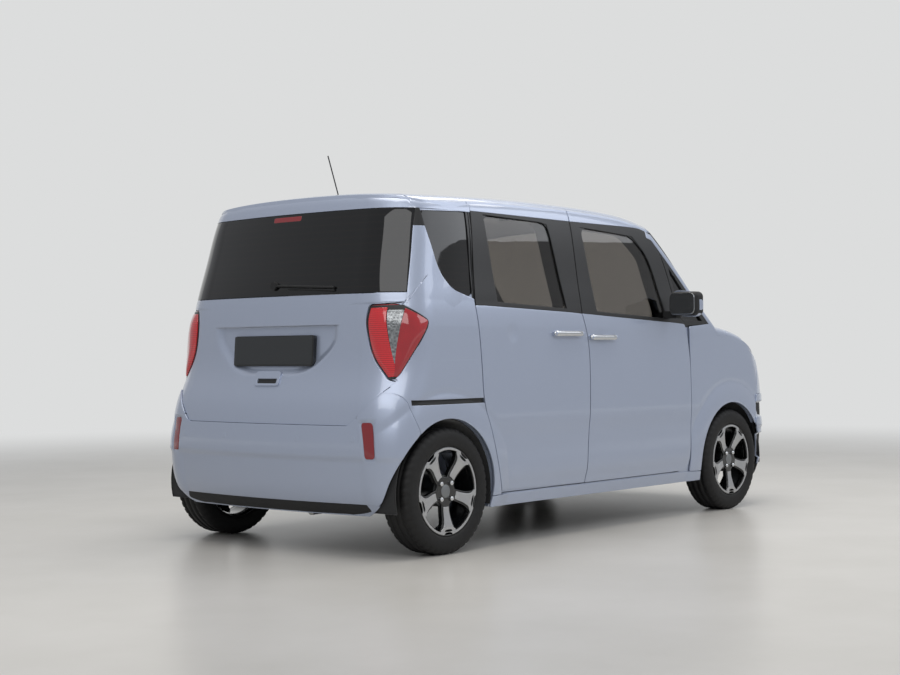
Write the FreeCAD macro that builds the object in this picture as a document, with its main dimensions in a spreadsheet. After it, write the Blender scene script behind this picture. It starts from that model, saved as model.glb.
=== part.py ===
import FreeCAD, Part
import math
import os

V = FreeCAD.Vector

# A small box-shaped city car with a sliding door on its right side.
# Millimetres. X points forward, Y to the car's left, Z up.
# The origin lies on the floor under the middle of the car.

doc = FreeCAD.newDocument("small_car")
sheet = doc.addObject("Spreadsheet::Sheet", "Sizes")

SIZES = [
    # whole car
    ("body_length", 3595), ("body_width", 1595), ("body_height", 1700),
    ("wheelbase", 2520), ("rear_overhang", 430), ("track", 1420),
    ("side_bow", 9), ("rear_bow", 70), ("front_bow", 150),
    # panels
    ("panel_gap", 5), ("skin_wall", 14), ("roof_wall", 24), ("bonnet_wall", 24),
    ("door_skin", 24), ("door_wall", 84), ("frame_wall", 90), ("tailgate_wall", 60),
    ("inner_lip", 26), ("inner_gap", 9), ("hinge_height", 60), ("glass_wall", 5), ("glass_depth", 5),
    ("pane_gap", 1),
    ("roof_half_width", 648), ("flare_reach", 130),
    # wheels
    ("tyre_radius", 288), ("tyre_width", 168), ("rim_radius", 203), ("rim_width", 150),
    ("rim_wall", 6), ("tyre_wall", 12), ("spoke_depth", 26), ("spoke_width", 62), ("hub_radius", 72),
    ("arch_radius", 332), ("arch_wall", 6), ("lug_circle", 100), ("lug_hole", 13),
    ("disc_radius", 128), ("disc_wall", 18), ("drum_radius", 110), ("drum_depth", 48),
    ("axle_pin", 16), ("pin_clearance", 0.05), ("steer_arm", 120), ("running_gap", 6), ("seat_gap", 0.3),
    # chassis
    ("floor_wall", 30), ("floor_height", 212), ("beam_radius", 38), ("spring_radius", 52),
    ("strut_radius", 26), ("rod_radius", 9),
    ("rack_radius", 24), ("pipe_radius", 22), ("muffler_radius", 78), ("muffler_length", 430),
    # cabin
    ("seat_width", 470), ("seat_lean", 14), ("seat_depth", 480), ("cushion_height", 130),
    ("back_height", 600),
    ("back_wall", 110), ("headrest_height", 150), ("bench_width", 1120),
    ("wheel_grip", 185), ("grip_radius", 15),
    # fittings
    ("handle_height", 26), ("handle_stand", 16), ("mirror_width", 175),
    ("mirror_height", 130), ("mirror_depth", 95), ("aerial_length", 190), ("aerial_radius", 3),
    ("wiper_length", 385), ("wiper_radius", 6), ("wiper_boss", 20), ("flap_radius", 82), ("overrun", 40),
]
for row, (alias, value) in enumerate(SIZES, start=1):
    sheet.set("A%d" % row, alias)
    sheet.set("B%d" % row, str(value))
    sheet.setAlias("B%d" % row, alias)
doc.recompute()


def size(alias):
    """A driving dimension, read back from the sheet."""
    return float(sheet.get(alias))


LENGTH, WIDTH, HEIGHT = size("body_length"), size("body_width"), size("body_height")
HALF = WIDTH / 2
WHEELBASE = size("wheelbase")
REAR = -LENGTH / 2
REAR_AXLE = REAR + size("rear_overhang")
FRONT_AXLE = REAR_AXLE + WHEELBASE
FRONT_OVERHANG = LENGTH / 2 - FRONT_AXLE
HUB = size("tyre_radius")
WHEEL_Y = size("track") / 2
GAP = size("panel_gap")
OVER = size("overrun")


def along(share):
    """X at a share of the wheelbase, counted from the rear axle."""
    return REAR_AXLE + share * WHEELBASE


def up(share):
    """Z at a share of the body's height."""
    return share * HEIGHT


def across(share):
    """Y at a share of the half width, left positive."""
    return share * HALF


# Hulls: the body's outer form, and the same form drawn in by a wall.
# Each row: height, half width, rear reach, rear corner, front reach, front corner,
# as shares of body height, half width, rear overhang, half width, front overhang, half width.
LEVEL_SHARES = [
    (0.112, 0.945, 0.84, 0.20, 0.90, 0.36), (0.153, 0.965, 0.93, 0.19, 0.955, 0.38),
    (0.206, 0.978, 0.975, 0.19, 0.988, 0.40), (0.294, 0.985, 1.000, 0.205, 1.000, 0.40),
    (0.353, 0.986, 0.988, 0.23, 0.995, 0.40), (0.412, 0.985, 0.950, 0.26, 0.978, 0.40),
    (0.471, 0.982, 0.865, 0.28, 0.945, 0.40), (0.529, 0.978, 0.812, 0.29, 0.890, 0.40),
    (0.618, 0.972, 0.800, 0.30, 0.790, 0.40), (0.676, 0.962, 0.785, 0.31, 0.690, 0.40),
    (0.735, 0.942, 0.745, 0.31, 0.640, 0.40), (0.824, 0.915, 0.655, 0.30, 0.520, 0.40),
    (0.900, 0.890, 0.575, 0.28, 0.400, 0.40), (0.965, 0.858, 0.500, 0.27, 0.300, 0.40),
    (1.050, 0.795, 0.420, 0.27, 0.200, 0.40),
]
SIDE_SHARE = 0.985
# Heights of the top surfaces along the car. Each pair: place along the wheelbase, share of height.
ROOF_SHARES = [(-0.200, 0.9430), (-0.095, 0.9735), (0.050, 0.9905), (0.250, 0.9990),
               (0.420, 1.0000), (0.580, 0.9940), (0.670, 0.9825), (0.733, 0.9660)]
SCREEN_SHARES = [(0.733, 0.9660), (0.836, 0.8565), (0.9355, 0.7350), (1.015, 0.6375)]
BONNET_SHARES = [(1.015, 0.6375), (1.060, 0.6280), (1.120, 0.6080), (1.170, 0.5780),
                 (1.210, 0.5300), (1.240, 0.4600)]
# Fall of those surfaces to the side. Each row: place across, roof fall, bonnet fall, sweep back.
SIDE_FALL_SHARES = [(0.0, 0.0, 0.0, 0.0), (0.38, 0.0025, 0.0020, 0.006), (0.62, 0.0085, 0.0060, 0.018),
                    (0.76, 0.0170, 0.0110, 0.032), (0.84, 0.0300, 0.0150, 0.045),
                    (0.92, 0.0650, 0.0200, 0.062), (1.06, 0.1500, 0.0380, 0.090)]
SCREEN_TOP_SWEEP_SHARE = 0.25


def run_shares(points):
    """How far along a chain each of its points lies, from 0 to 1."""
    runs = [0.0]
    for a, b in zip(points, points[1:]):
        runs.append(runs[-1] + math.dist(a, b))
    return [run / runs[-1] for run in runs]


def spline(points, shares, first=None, last=None):
    """A smooth curve through points at given shares of its length, the same at every level."""
    curve = Part.BSplineCurve()
    if first is None:
        curve.interpolate(Points=points, Parameters=shares)
    else:
        curve.interpolate(Points=points, Parameters=shares, InitialTangent=first, FinalTangent=last)
    return curve.toShape()


def corner_points(half, end, corner, bow, side_bow):
    """Plan points of a quarter outline, from the centre line at one end to the middle of a side.

    The end face is a parabola, the corner a round and the side a parabola. end and middle are
    distances from the middle of the car along X.
    """
    start = half - corner
    lean = math.atan(2 * bow * start / half ** 2)
    sag = bow * (start / half) ** 2
    centre = (end - sag - corner * math.cos(lean), start - corner * math.sin(lean))
    reach = half - centre[1]
    points = [(end - bow * (start * k / half) ** 2, start * k) for k in (0, 0.3, 0.6, 0.85)]
    for k in range(7):
        turn = lean + (math.pi / 2 - lean) * k / 6
        points.append((centre[0] + corner * math.cos(turn), centre[1] + reach * math.sin(turn)))
    points += [(centre[0] * (1 - k), half) for k in (0.2, 0.5, 0.8, 1)]
    return [(x, y * (1 - side_bow / half * (x / end) ** 2)) for x, y in points]


def quarters(row, inset):
    """The rear and front quarter outlines at one level, by the way that they face along X."""
    high, wide, rear, rear_corner, front, front_corner = row
    half = HALF * wide - inset
    middle = (REAR_AXLE + FRONT_AXLE) / 2
    ends = (
        (-1, middle - REAR_AXLE + rear * size("rear_overhang"), rear_corner, size("rear_bow")),
        (1, FRONT_AXLE - middle + front * FRONT_OVERHANG, front_corner, size("front_bow")),
    )
    return {way: corner_points(half, end - inset, max(corner * HALF - inset, HALF / 10), bow,
                               size("side_bow"))
            for way, end, corner, bow in ends}


def level_wire(row, inset, drop=0):
    """The plan outline of the body at one height, drawn in by inset."""
    z = up(row[0]) - drop
    middle = (REAR_AXLE + FRONT_AXLE) / 2
    quarter = quarters(row, inset)
    shares = {way: run_shares(points) for way, points in quarters(LEVEL_SHARES[3], 0).items()}
    edges = []
    for way, hand in ((-1, -1), (1, -1), (1, 1), (-1, 1)):
        points = [V(middle + way * x, hand * y, z) for x, y in quarter[way]]
        steps = shares[way]
        reach = WHEELBASE * 0.8
        pull = V(0, hand * reach, 0), V(-way * reach, 0, 0)
        if way * hand < 0:
            points.reverse()
            steps = [1 - step for step in reversed(steps)]
            pull = V(way * reach, 0, 0), V(0, -hand * reach, 0)
        edges.append(spline(points, steps, *pull))
    return Part.Wire(edges)


def offset_chain(points, inset):
    """Points of a profile moved square to it, towards the inside, with mitred corners."""
    moved = []
    for i, (x, z) in enumerate(points):
        before = points[max(i - 1, 0)]
        after = points[min(i + 1, len(points) - 1)]
        normals = []
        for a, b in ((before, (x, z)), ((x, z), after)):
            run = math.hypot(b[0] - a[0], b[1] - a[1])
            if run > 0:
                normals.append(((b[1] - a[1]) / run, -(b[0] - a[0]) / run))
        nx = sum(n[0] for n in normals) / len(normals)
        nz = sum(n[1] for n in normals) / len(normals)
        square = nx * nx + nz * nz
        moved.append((x + inset * nx / square, z + inset * nz / square))
    return moved


def between_ends(place, first, last):
    """How far a place lies from one end to the other, held from 0 to 1."""
    return max(0.0, min(1.0, (place - first) / (last - first)))


def top_wire(shares, hand, inset):
    """The body's side profile at one distance from the centre line, closed under the floor."""
    wide, roof_fall, bonnet_fall, sweep = shares
    y = hand * HALF * wide
    rows = []
    for number, table in enumerate((ROOF_SHARES, SCREEN_SHARES, BONNET_SHARES)):
        for place, high in table[(number > 0):]:
            low = between_ends(place, ROOF_SHARES[-1][0], BONNET_SHARES[0][0])
            fall = roof_fall + (bonnet_fall - roof_fall) * low
            ahead = between_ends(place, ROOF_SHARES[4][0], ROOF_SHARES[-1][0])
            back = sweep * (SCREEN_TOP_SWEEP_SHARE * ahead + (1 - SCREEN_TOP_SWEEP_SHARE) * low)
            if place < 0:
                back = sweep * place * 2.5
            rows.append((along(place - back), up(high - fall)))
    rows = offset_chain(rows, inset)
    first, second = len(ROOF_SHARES), len(ROOF_SHARES) + len(SCREEN_SHARES) - 1
    chains = (rows[:first], rows[first - 1:second], rows[second - 1:])
    edges = [spline([V(x, y, z) for x, z in chain], run_shares(chain)) for chain in chains]
    under = -2 * OVER
    rear_x, front_x = REAR - 4 * OVER, LENGTH / 2 + 4 * OVER
    start, end = V(rows[0][0], y, rows[0][1]), V(rows[-1][0], y, rows[-1][1])
    corners = [end, V(front_x, y, end.z - OVER), V(front_x, y, under), V(rear_x, y, under),
               V(rear_x, y, start.z - OVER), start]
    edges += [Part.makeLine(a, b) for a, b in zip(corners, corners[1:])]
    return Part.Wire(edges)


HULLS = {}


def hull(inset=0):
    """The whole body as one solid, its walls and top drawn in by inset, its foot left open below."""
    if inset not in HULLS:
        drop = 3 * OVER if inset else 0
        rows = list(LEVEL_SHARES)
        wires = [level_wire(rows[0], inset, drop)] if inset else []
        wires += [level_wire(row, inset) for row in rows]
        walls = Part.makeLoft(wires, True, False)
        sides = [top_wire(row, -1, inset) for row in reversed(SIDE_FALL_SHARES)]
        sides += [top_wire(row, 1, inset) for row in SIDE_FALL_SHARES[1:]]
        top = Part.makeLoft(sides, True, False)
        HULLS[inset] = walls.common(top)
    return HULLS[inset]


TINY = size("pin_clearance") / 50


def rounded_wire(points, place):
    """A closed outline with tangent rounds. Each point: a, b, radius. place turns (a, b) into 3-D."""
    flat = [V(p[0], p[1], 0) for p in points]
    count = len(flat)
    ends = []
    for i, corner in enumerate(flat):
        radius = points[i][2] if len(points[i]) > 2 else 0
        back = flat[i - 1] - corner
        ahead = flat[(i + 1) % count] - corner
        angle = back.getAngle(ahead)
        if radius <= 0 or angle > math.pi - 0.01:
            ends.append((corner, None, corner))
            continue
        cut = min(radius / math.tan(angle / 2), 0.48 * back.Length, 0.48 * ahead.Length)
        radius = cut * math.tan(angle / 2)
        back.normalize()
        ahead.normalize()
        half_way = (back + ahead).normalize()
        middle = corner + half_way * (radius / math.sin(angle / 2) - radius)
        ends.append((corner + back * cut, middle, corner + ahead * cut))
    edges = []
    for i in range(count):
        first, middle, last = ends[i]
        if middle is not None:
            edges.append(Part.Arc(place(first), place(middle), place(last)).toShape())
        following = ends[(i + 1) % count][0]
        if (following - last).Length > TINY:
            edges.append(Part.makeLine(place(last), place(following)))
    return Part.Wire(edges)


def side_face(points):
    """A face in the side view. Points are shares: of the wheelbase, then height and radius of the height."""
    real = [(along(p[0]), up(p[1]), up(p[2]) if len(p) > 2 else 0) for p in points]
    return Part.Face(rounded_wire(real, lambda p: V(p.x, 0, p.y)))


def grown(face, by):
    """A face with its outline moved outwards, or inwards when by is negative."""
    return face.makeOffset2D(by) if by else face


def to_side(face, hand, inner=0.0):
    """A side-view face pushed through one side of the car, from inner outwards."""
    moved = face.copy()
    moved.translate(V(0, hand * inner, 0))
    return moved.extrude(V(0, hand * (HALF + 3 * OVER - inner), 0))


def slab(x0, x1, y0, y1, z0, z1):
    """A plain block between two corners."""
    return Part.makeBox(x1 - x0, y1 - y0, z1 - z0, V(x0, y0, z0))


SHELLS = {}


def shell(outer, inner):
    """The whole skin between two depths of the hull."""
    if (outer, inner) not in SHELLS:
        SHELLS[outer, inner] = hull(outer).cut(hull(inner))
    return SHELLS[outer, inner]


def layer(block, outer, inner):
    """The part of a block between two depths of the hull."""
    return block.common(shell(outer, inner))


def mirrored(shape):
    """The same shape on the other side of the car."""
    return shape.mirror(V(0, 0, 0), V(0, 1, 0))


def both_sides(*shapes):
    """Solids of the right side together with the same ones on the left, for a node of a pair."""
    return Part.makeCompound([*shapes, *(mirrored(shape) for shape in shapes)])


def fused(shapes):
    """Several solids as one, with their shared faces merged."""
    whole = shapes[0].fuse(shapes[1:]) if len(shapes) > 1 else shapes[0]
    return whole.removeSplitter()


def rod(start, end, radius):
    """A round bar between two points."""
    run = end - start
    return Part.makeCylinder(radius, run.Length, start, run)


NODES = []


def node(name, shape):
    """One named sub-part of the document."""
    feature = doc.addObject("Part::Feature", name)
    feature.Shape = shape
    feature.Label = name
    NODES.append(feature)
    return feature


def biggest(shape, count=1):
    """The largest solids of a shape, which leaves loose crumbs of a cut behind."""
    solids = sorted(shape.Solids, key=lambda s: -s.Volume)[:count]
    return solids[0] if count == 1 else Part.makeCompound(solids)


# Outlines of the side panels: place in shares of the wheelbase, height and radius in shares of the height.
SLIDE_SHARES = [(0.150, 0.149, 0.026), (0.158, 0.160, 0.012), (0.145, 0.210, 0.176),
                (0.117, 0.355, 0.176), (0.103, 0.412, 0.118),
                (0.101, 0.530, 0.235), (0.091, 0.694, 0.176), (0.116, 1.080), (0.4235, 1.080),
                (0.4235, 0.660, 0.176), (0.4440, 0.553, 0.176), (0.4385, 0.335, 0.294), (0.4290, 0.149)]
FRONT_DOOR_SHARES = [(0.4310, 0.149), (0.4405, 0.335, 0.294), (0.4460, 0.553, 0.176),
                     (0.4255, 0.660, 0.176),
                     (0.4255, 1.080), (0.655, 1.080), (0.655, 0.985, 0.006), (0.704, 0.943, 0.118),
                     (0.7545, 0.843, 0.088),
                     (0.785, 0.660, 0.035), (0.812, 0.618, 0.035), (0.826, 0.525, 0.235),
                     (0.826, 0.212, 0.059),
                     (0.800, 0.149, 0.053)]
REAR_DOOR_SHARES = [(0.250, 0.149, 0.035), (0.155, 0.215, 0.176), (0.120, 0.355, 0.176),
                    (0.103, 0.412, 0.118),
                    (0.101, 0.530, 0.235), (0.091, 0.694, 0.176), (0.116, 1.080), (0.4235, 1.080),
                    (0.4235, 0.660, 0.176), (0.4440, 0.553, 0.176), (0.4385, 0.335, 0.294), (0.4290, 0.149)]
SLIDE_WINDOW_SHARES = [(0.158, 0.682, 0.012), (0.375, 0.668, 0.012), (0.345, 0.920, 0.035),
                       (0.142, 0.928, 0.035)]
FRONT_WINDOW_SHARES = [(0.478, 0.662, 0.012), (0.738, 0.645, 0.012), (0.700, 0.835, 0.076),
                       (0.640, 0.905, 0.094), (0.458, 0.917, 0.029)]
QUARTER_WINDOW_SHARES = [(0.086, 0.690, 0.018), (0.030, 0.712, 0.053), (0.000, 0.760, 0.071),
                         (-0.016, 0.850, 0.118),
                         (-0.025, 0.925, 0.007), (0.098, 0.932, 0.005)]
FRONT_QUARTER_SHARES = [(0.800, 0.642, 0.005), (0.888, 0.636, 0.005), (0.772, 0.815, 0.005)]
FRAME_SHARES = [(-0.280, 0.100), (-0.280, 1.100), (0.745, 1.100), (0.745, 0.985), (0.830, 0.870),
                (0.925, 0.740),
                (0.985, 0.640), (0.826, 0.622, 0.012), (0.826, 0.128)]
WING_SHARES = [(0.828, 0.128), (0.828, 0.6190), (0.987, 0.6370), (1.000, 0.900), (1.300, 0.900),
               (1.300, 0.390),
               (1.120, 0.390), (1.090, 0.128)]
LAMP_SHARES = [(1.060, 0.622, 0.006), (1.160, 0.640, 0.006), (1.260, 0.600, 0.006), (1.260, 0.480, 0.006),
               (1.130, 0.510, 0.035)]
BUMPER_SIDE_SHARES = [(-0.300, 0.100), (-0.300, 0.4350), (-0.145, 0.4300, 0.018), (-0.120, 0.4020, 0.006),
                      (-0.060, 0.300),
                      (-0.060, 0.100)]
RAIL_SHARES = [(0.120, 0.4030), (0.120, 0.4165), (-0.0907, 0.4165, 0.006), (-0.0907, 0.4030, 0.006)]
FRONT_BUMPER_SHARES = [(1.085, 0.100), (1.115, 0.387), (1.300, 0.387), (1.300, 0.100)]

INNER_Y = across(0.640)
DOOR_INNER = across(0.700)
CABIN_TOP = up(0.925)


def arch(axle, radius, inner):
    """The round space over a wheel, open below, on the right side."""
    space = Part.makeCylinder(radius, HALF + OVER - inner, V(axle, -inner, HUB), V(0, -1, 0))
    return space.fuse(slab(axle - radius, axle + radius, -HALF - OVER, -inner, -OVER, HUB))


def flare(axle):
    """The shallow cone that swells the right side round a wheel arch."""
    wide, narrow = size("arch_radius") + size("flare_reach"), size("arch_radius") - OVER
    side = across(SIDE_SHARE)
    slope = (HALF - side) / size("flare_reach")
    depth = (wide - narrow) * slope
    return Part.makeCone(wide, narrow, depth, V(axle, -side, HUB), V(0, -1, 0))


slide_face, front_face, rear_face = (side_face(s) for s in (SLIDE_SHARES, FRONT_DOOR_SHARES,
                                                            REAR_DOOR_SHARES))
slide_window, front_window = side_face(SLIDE_WINDOW_SHARES), side_face(FRONT_WINDOW_SHARES)
quarter_window, front_quarter = side_face(QUARTER_WINDOW_SHARES), side_face(FRONT_QUARTER_SHARES)
outside_roof = slab(REAR - OVER, LENGTH / 2 + OVER, -HALF - OVER, -size("roof_half_width") - GAP / 2, 0,
                    HEIGHT + OVER)
below_header = slab(REAR - OVER, LENGTH / 2 + OVER, -HALF - OVER, -INNER_Y, 0, CABIN_TOP)
inner_sill = up(0.165)


def door_room(face, inset, rise=0.0):
    """The block behind a door's skin: its outline drawn in by inset, its foot and top by rise as well."""
    room = to_side(grown(face, -inset), -1, INNER_Y)
    return room.common(slab(REAR - OVER, LENGTH / 2 + OVER, -HALF - OVER, -INNER_Y, inner_sill + rise,
                            CABIN_TOP - rise))


def aperture(face):
    """The inner opening of a door, smaller than its skin by the seal's lip."""
    return door_room(face, size("inner_lip"))


def door(face, window):
    """A hollow-windowed door for the right side: a skin, and an inner frame set in by the lip."""
    skin = layer(to_side(face, -1, DOOR_INNER).common(outside_roof), 0, size("door_skin"))
    frame = door_room(face, size("inner_lip") + size("inner_gap"), size("inner_gap"))
    frame = layer(frame, size("door_skin") / 2, size("door_wall"))
    whole = skin.fuse(frame)
    return biggest(whole.cut(to_side(window, -1, INNER_Y / 2)).removeSplitter())


def with_handle(panel, first_share, last_share, high_share):
    """A door with its bar handle on two short feet."""
    y, z = -across(0.965), up(high_share)
    thick = size("handle_height") / 2
    ends = along(first_share), along(last_share)
    reach = y - thick - size("handle_stand")
    pieces = [rod(V(ends[0], reach, z), V(ends[1], reach, z), thick)]
    for x in (ends[0] + thick, ends[1] - thick):
        pieces.append(rod(V(x, y, z), V(x, reach, z), thick * 0.8))
    return panel.fuse(pieces)


def pane(face, depth=None):
    """A window pane for the right side, seated in its opening just under the skin."""
    depth = size("glass_depth") if depth is None else depth
    return biggest(layer(to_side(grown(face, -size("pane_gap")), -1, INNER_Y / 2), depth,
                         depth + size("glass_wall")))


slide_door = with_handle(door(slide_face, slide_window), 0.3200, 0.4130, 0.594)
front_door = with_handle(door(front_face, front_window), 0.4430, 0.5320, 0.583)
rear_door = with_handle(door(rear_face, slide_window), 0.1550, 0.2450, 0.594)

# Rear opening: tailgate, lamps and bumper.
TAILGATE_SHARES = [(0.0, 0.3465), (0.690, 0.3500, 0.029), (0.905, 0.4640, 0.018), (0.862, 0.4690, 0.005),
                   (0.752, 0.5350, 0.053),
                   (0.712, 0.6200, 0.035), (0.728, 0.6700, 0.015), (0.900, 0.6760, 0.015),
                   (0.880, 0.7600, 0.088), (0.800, 1.10),
                   (0.0, 1.10)]
TAIL_LAMP_SHARES = [(-0.300, 0.664), (-0.090, 0.670, 0.012), (-0.041, 0.628, 0.015), (-0.070, 0.560, 0.176),
                    (-0.103, 0.519, 0.176), (-0.150, 0.466, 0.015), (-0.300, 0.450)]
GLASS_SHARES = [(0.0, 0.7000), (0.800, 0.7000, 0.029), (0.800, 0.960, 0.024), (0.0, 0.960)]
RECESS_SHARES = [(0.0, 0.4780), (0.300, 0.4780, 0.065), (0.520, 0.560, 0.035), (0.530, 0.6180, 0.005),
                 (0.0, 0.6200)]


def rear_prism(points, depth_from, depth_to):
    """A block through the rear, symmetric across, from shares of half width and height."""
    real = [(HALF * p[0], up(p[1]), up(p[2]) if len(p) > 2 else 0) for p in points]
    other = [(-a, b, r) for a, b, r in real[-2:0:-1]]
    face = Part.Face(rounded_wire(real + other, lambda p: V(depth_from, p.x, p.y)))
    return face, face.extrude(V(depth_to - depth_from, 0, 0))


HINGE_X = REAR_AXLE - 0.20 * size("rear_overhang")
TAIL_FRONT = REAR_AXLE - 0.10 * size("rear_overhang")
tail_face, tail_block = rear_prism(TAILGATE_SHARES, REAR - OVER, TAIL_FRONT)
tail_space = grown(tail_face, GAP).extrude(V(TAIL_FRONT + GAP - REAR + OVER, 0, 0))
ahead_of_hinge = slab(HINGE_X, TAIL_FRONT + 2 * GAP, -HALF, HALF, up(0.80), HEIGHT + 2 * OVER)
behind_seam = slab(REAR - OVER, TAIL_FRONT + GAP, -HALF, HALF, 0, HEIGHT + OVER)
behind_seam = behind_seam.cut(slab(HINGE_X + GAP, TAIL_FRONT + 2 * GAP, -HALF, HALF, up(0.80),
                                   HEIGHT + 2 * OVER))
lamp_block = to_side(side_face(TAIL_LAMP_SHARES), -1, INNER_Y)
lamp_space = to_side(grown(side_face(TAIL_LAMP_SHARES), GAP / 2), -1, INNER_Y)
rear_bumper_side = to_side(side_face(BUMPER_SIDE_SHARES), -1)
wheel_space = arch(REAR_AXLE, size("arch_radius"), INNER_Y)


def section_block(points, low=0, high=HEIGHT + OVER):
    """A block through the car from above, symmetric across.

    Points are shares: of the wheelbase, of the half width, and a radius as a share of the height.
    """
    real = [(along(p[0]), HALF * p[1], up(p[2]) if len(p) > 2 else 0) for p in points]
    real += [(a, -b, r) for a, b, r in reversed(real)]
    face = Part.Face(rounded_wire(real, lambda p: V(p.x, p.y, low)))
    return face, face.extrude(V(0, 0, high - low))


SCREEN_PLAN_SHARES = [(0.700, 0.770), (0.955, 0.860, 0.024), (1.010, 0.300, 0.529)]
BONNET_PLAN_SHARES = [(1.034, 0.300, 0.529), (0.990, 0.845, 0.018), (1.090, 0.800), (1.150, 0.640, 0.035),
                      (1.206, 0.560)]
COWL_PLAN_SHARES = [(0.930, 0.845), (1.040, 0.845)]
SCREEN_TOP = along(ROOF_SHARES[-1][0])

# Roof, windscreen and bonnet: pieces of the top surface.
screen_face, screen_block = section_block(SCREEN_PLAN_SHARES, up(0.55))
screen_space = screen_block.cut(slab(REAR, SCREEN_TOP, -HALF, HALF, 0, HEIGHT + OVER))
roof_half = size("roof_half_width")
roof_block = slab(HINGE_X + GAP, SCREEN_TOP, -roof_half, roof_half, up(0.85), HEIGHT + OVER)
roof_shape = biggest(layer(roof_block, 0, size("roof_wall")))
screen_shape = biggest(layer(screen_space, size("glass_depth"), size("glass_depth") + size("glass_wall")))
bonnet_face, bonnet_block = section_block(BONNET_PLAN_SHARES, up(0.50))
bonnet_seam = grown(bonnet_face, GAP).extrude(V(0, 0, HEIGHT))
cowl_block = section_block(COWL_PLAN_SHARES, up(0.50))[1]
bonnet_shape = biggest(layer(bonnet_block, 0, size("bonnet_wall")))

# Right side of the body: a ring round the doors, with the quarter panel, the sill and the roof rail.
outer_side = slab(REAR - OVER, LENGTH / 2 + OVER, -HALF - 2 * OVER, -INNER_Y, 0, HEIGHT + OVER)
outside_seam = slab(REAR - OVER, LENGTH / 2 + OVER, -HALF - 2 * OVER, -roof_half, 0, HEIGHT + OVER)
seam_depth = size("door_skin") + GAP
lamp_depth = size("skin_wall") * 4


def liner(axle, radius, inner, outer):
    """The wheelhouse over a right wheel: a half tube, closed on its inner side, open below."""
    wall = size("arch_wall")
    tube = Part.makeCylinder(radius + wall, outer - inner, V(axle, -inner, HUB), V(0, -1, 0))
    tube = tube.common(slab(axle - radius - wall, axle + radius + wall, -outer, -inner, HUB,
                            HUB + radius + wall))
    tube = tube.fuse(slab(axle - radius - wall, axle + radius + wall, -outer, -inner,
                          size("floor_height"), HUB))
    room = Part.makeCylinder(radius, outer - inner, V(axle, -inner - wall, HUB), V(0, -1, 0))
    room = room.fuse(slab(axle - radius, axle + radius, -outer - wall, -inner - wall, 0, HUB))
    return tube.cut(room)


def door_lugs(face, places):
    """Blocks that reach from the edge of a door's opening to the door's inner frame.

    Hinges and latches sit on them. Each place: share along the wheelbase, share of the height.
    """
    lip, gap, seat = size("inner_lip"), size("inner_gap"), size("seat_gap")
    band = door_room(face, lip - seat, -seat).cut(door_room(face, lip + gap - seat, gap - seat))
    band = band.common(shell(seam_depth + GAP, size("door_wall")))
    half = size("hinge_height") / 2
    return [biggest(band.common(slab(along(place) - half, along(place) + half, -HALF, 0, up(high) - half,
                                     up(high) + half)))
            for place, high in places]


cowl_space = grown(section_block(COWL_PLAN_SHARES, up(0.50))[0], size("seat_gap")).extrude(V(0, 0, HEIGHT))
beam_slot = Part.makeCylinder(size("beam_radius") + size("running_gap"), WIDTH, V(REAR_AXLE, -HALF, HUB),
                              V(0, 1, 0))
beam_slot = beam_slot.fuse(slab(REAR_AXLE - size("beam_radius") - size("running_gap"),
                                REAR_AXLE + size("beam_radius") + size("running_gap"), -HALF, HALF, 0, HUB))


def side_ring(faces, apertures, lugs):
    """One side of the body, drawn as the right one, with seams for its doors and its openings."""
    ring = layer(to_side(side_face(FRAME_SHARES), -1, INNER_Y).common(outer_side), 0, size("frame_wall"))
    skin_zone = shell(0, seam_depth)
    for face in faces:
        seam = to_side(grown(face, GAP), -1, INNER_Y).common(outside_seam)
        ring = ring.cut(seam.common(skin_zone))
    for opening in apertures:
        ring = ring.cut(opening)
    ring = ring.cut([to_side(quarter_window, -1, INNER_Y / 2), to_side(front_quarter, -1, INNER_Y / 2)])
    ring = ring.cut([roof_shape, screen_space, tail_space.common(behind_seam), rear_bumper_side])
    ring = ring.cut([lamp_space.common(shell(0, lamp_depth)), cowl_space])
    swell = flare(REAR_AXLE).cut(hull(0)).cut([to_side(grown(face, GAP), -1, INNER_Y) for face in faces])
    swell = swell.cut(rear_bumper_side)
    ring = ring.fuse(swell).cut(wheel_space)
    radius = size("arch_radius")
    house = liner(REAR_AXLE, radius, INNER_Y, across(SIDE_SHARE) - size("frame_wall") / 2).common(hull(0))
    house = house.cut([to_side(grown(face, GAP), -1, INNER_Y).common(skin_zone) for face in faces])
    house = house.cut([layer(rear_bumper_side, 0, size("skin_wall") + size("seat_gap")), beam_slot])
    return biggest(ring.fuse([house, *lugs]).removeSplitter())


slide_hole, front_hole, rear_hole = aperture(slide_face), aperture(front_face), aperture(rear_face)
between = slab(along(0.40), along(0.47), -HALF - OVER, -INNER_Y, inner_sill, CABIN_TOP)
FRONT_HINGE_SHARES = [(0.815, 0.285), (0.815, 0.465)]
REAR_HINGE_SHARES = [(0.427, 0.285), (0.427, 0.465)]
SLIDE_RUNNER_SHARES = [(0.112, 0.420), (0.250, 0.925), (0.400, 0.925)]
front_lugs = door_lugs(front_face, FRONT_HINGE_SHARES)
right_ring = side_ring((slide_face, front_face), (slide_hole, front_hole, between),
                       front_lugs + door_lugs(slide_face, SLIDE_RUNNER_SHARES))
left_ring = side_ring((rear_face, front_face), (rear_hole, front_hole),
                      front_lugs + door_lugs(rear_face, REAR_HINGE_SHARES))

rail_groove = layer(to_side(side_face(RAIL_SHARES), -1, INNER_Y), 0, size("skin_wall"))
node("body_side_right", biggest(right_ring.cut(rail_groove)))
flap_centre = V(along(-0.02), 0, up(0.56))
flap_radius = size("flap_radius")


def flap_block(radius):
    """A round block through the rear quarter, where the fuel flap sits, drawn on the right side."""
    return Part.makeCylinder(radius, HALF, V(flap_centre.x, -INNER_Y, flap_centre.z), V(0, -1, 0))


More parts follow.
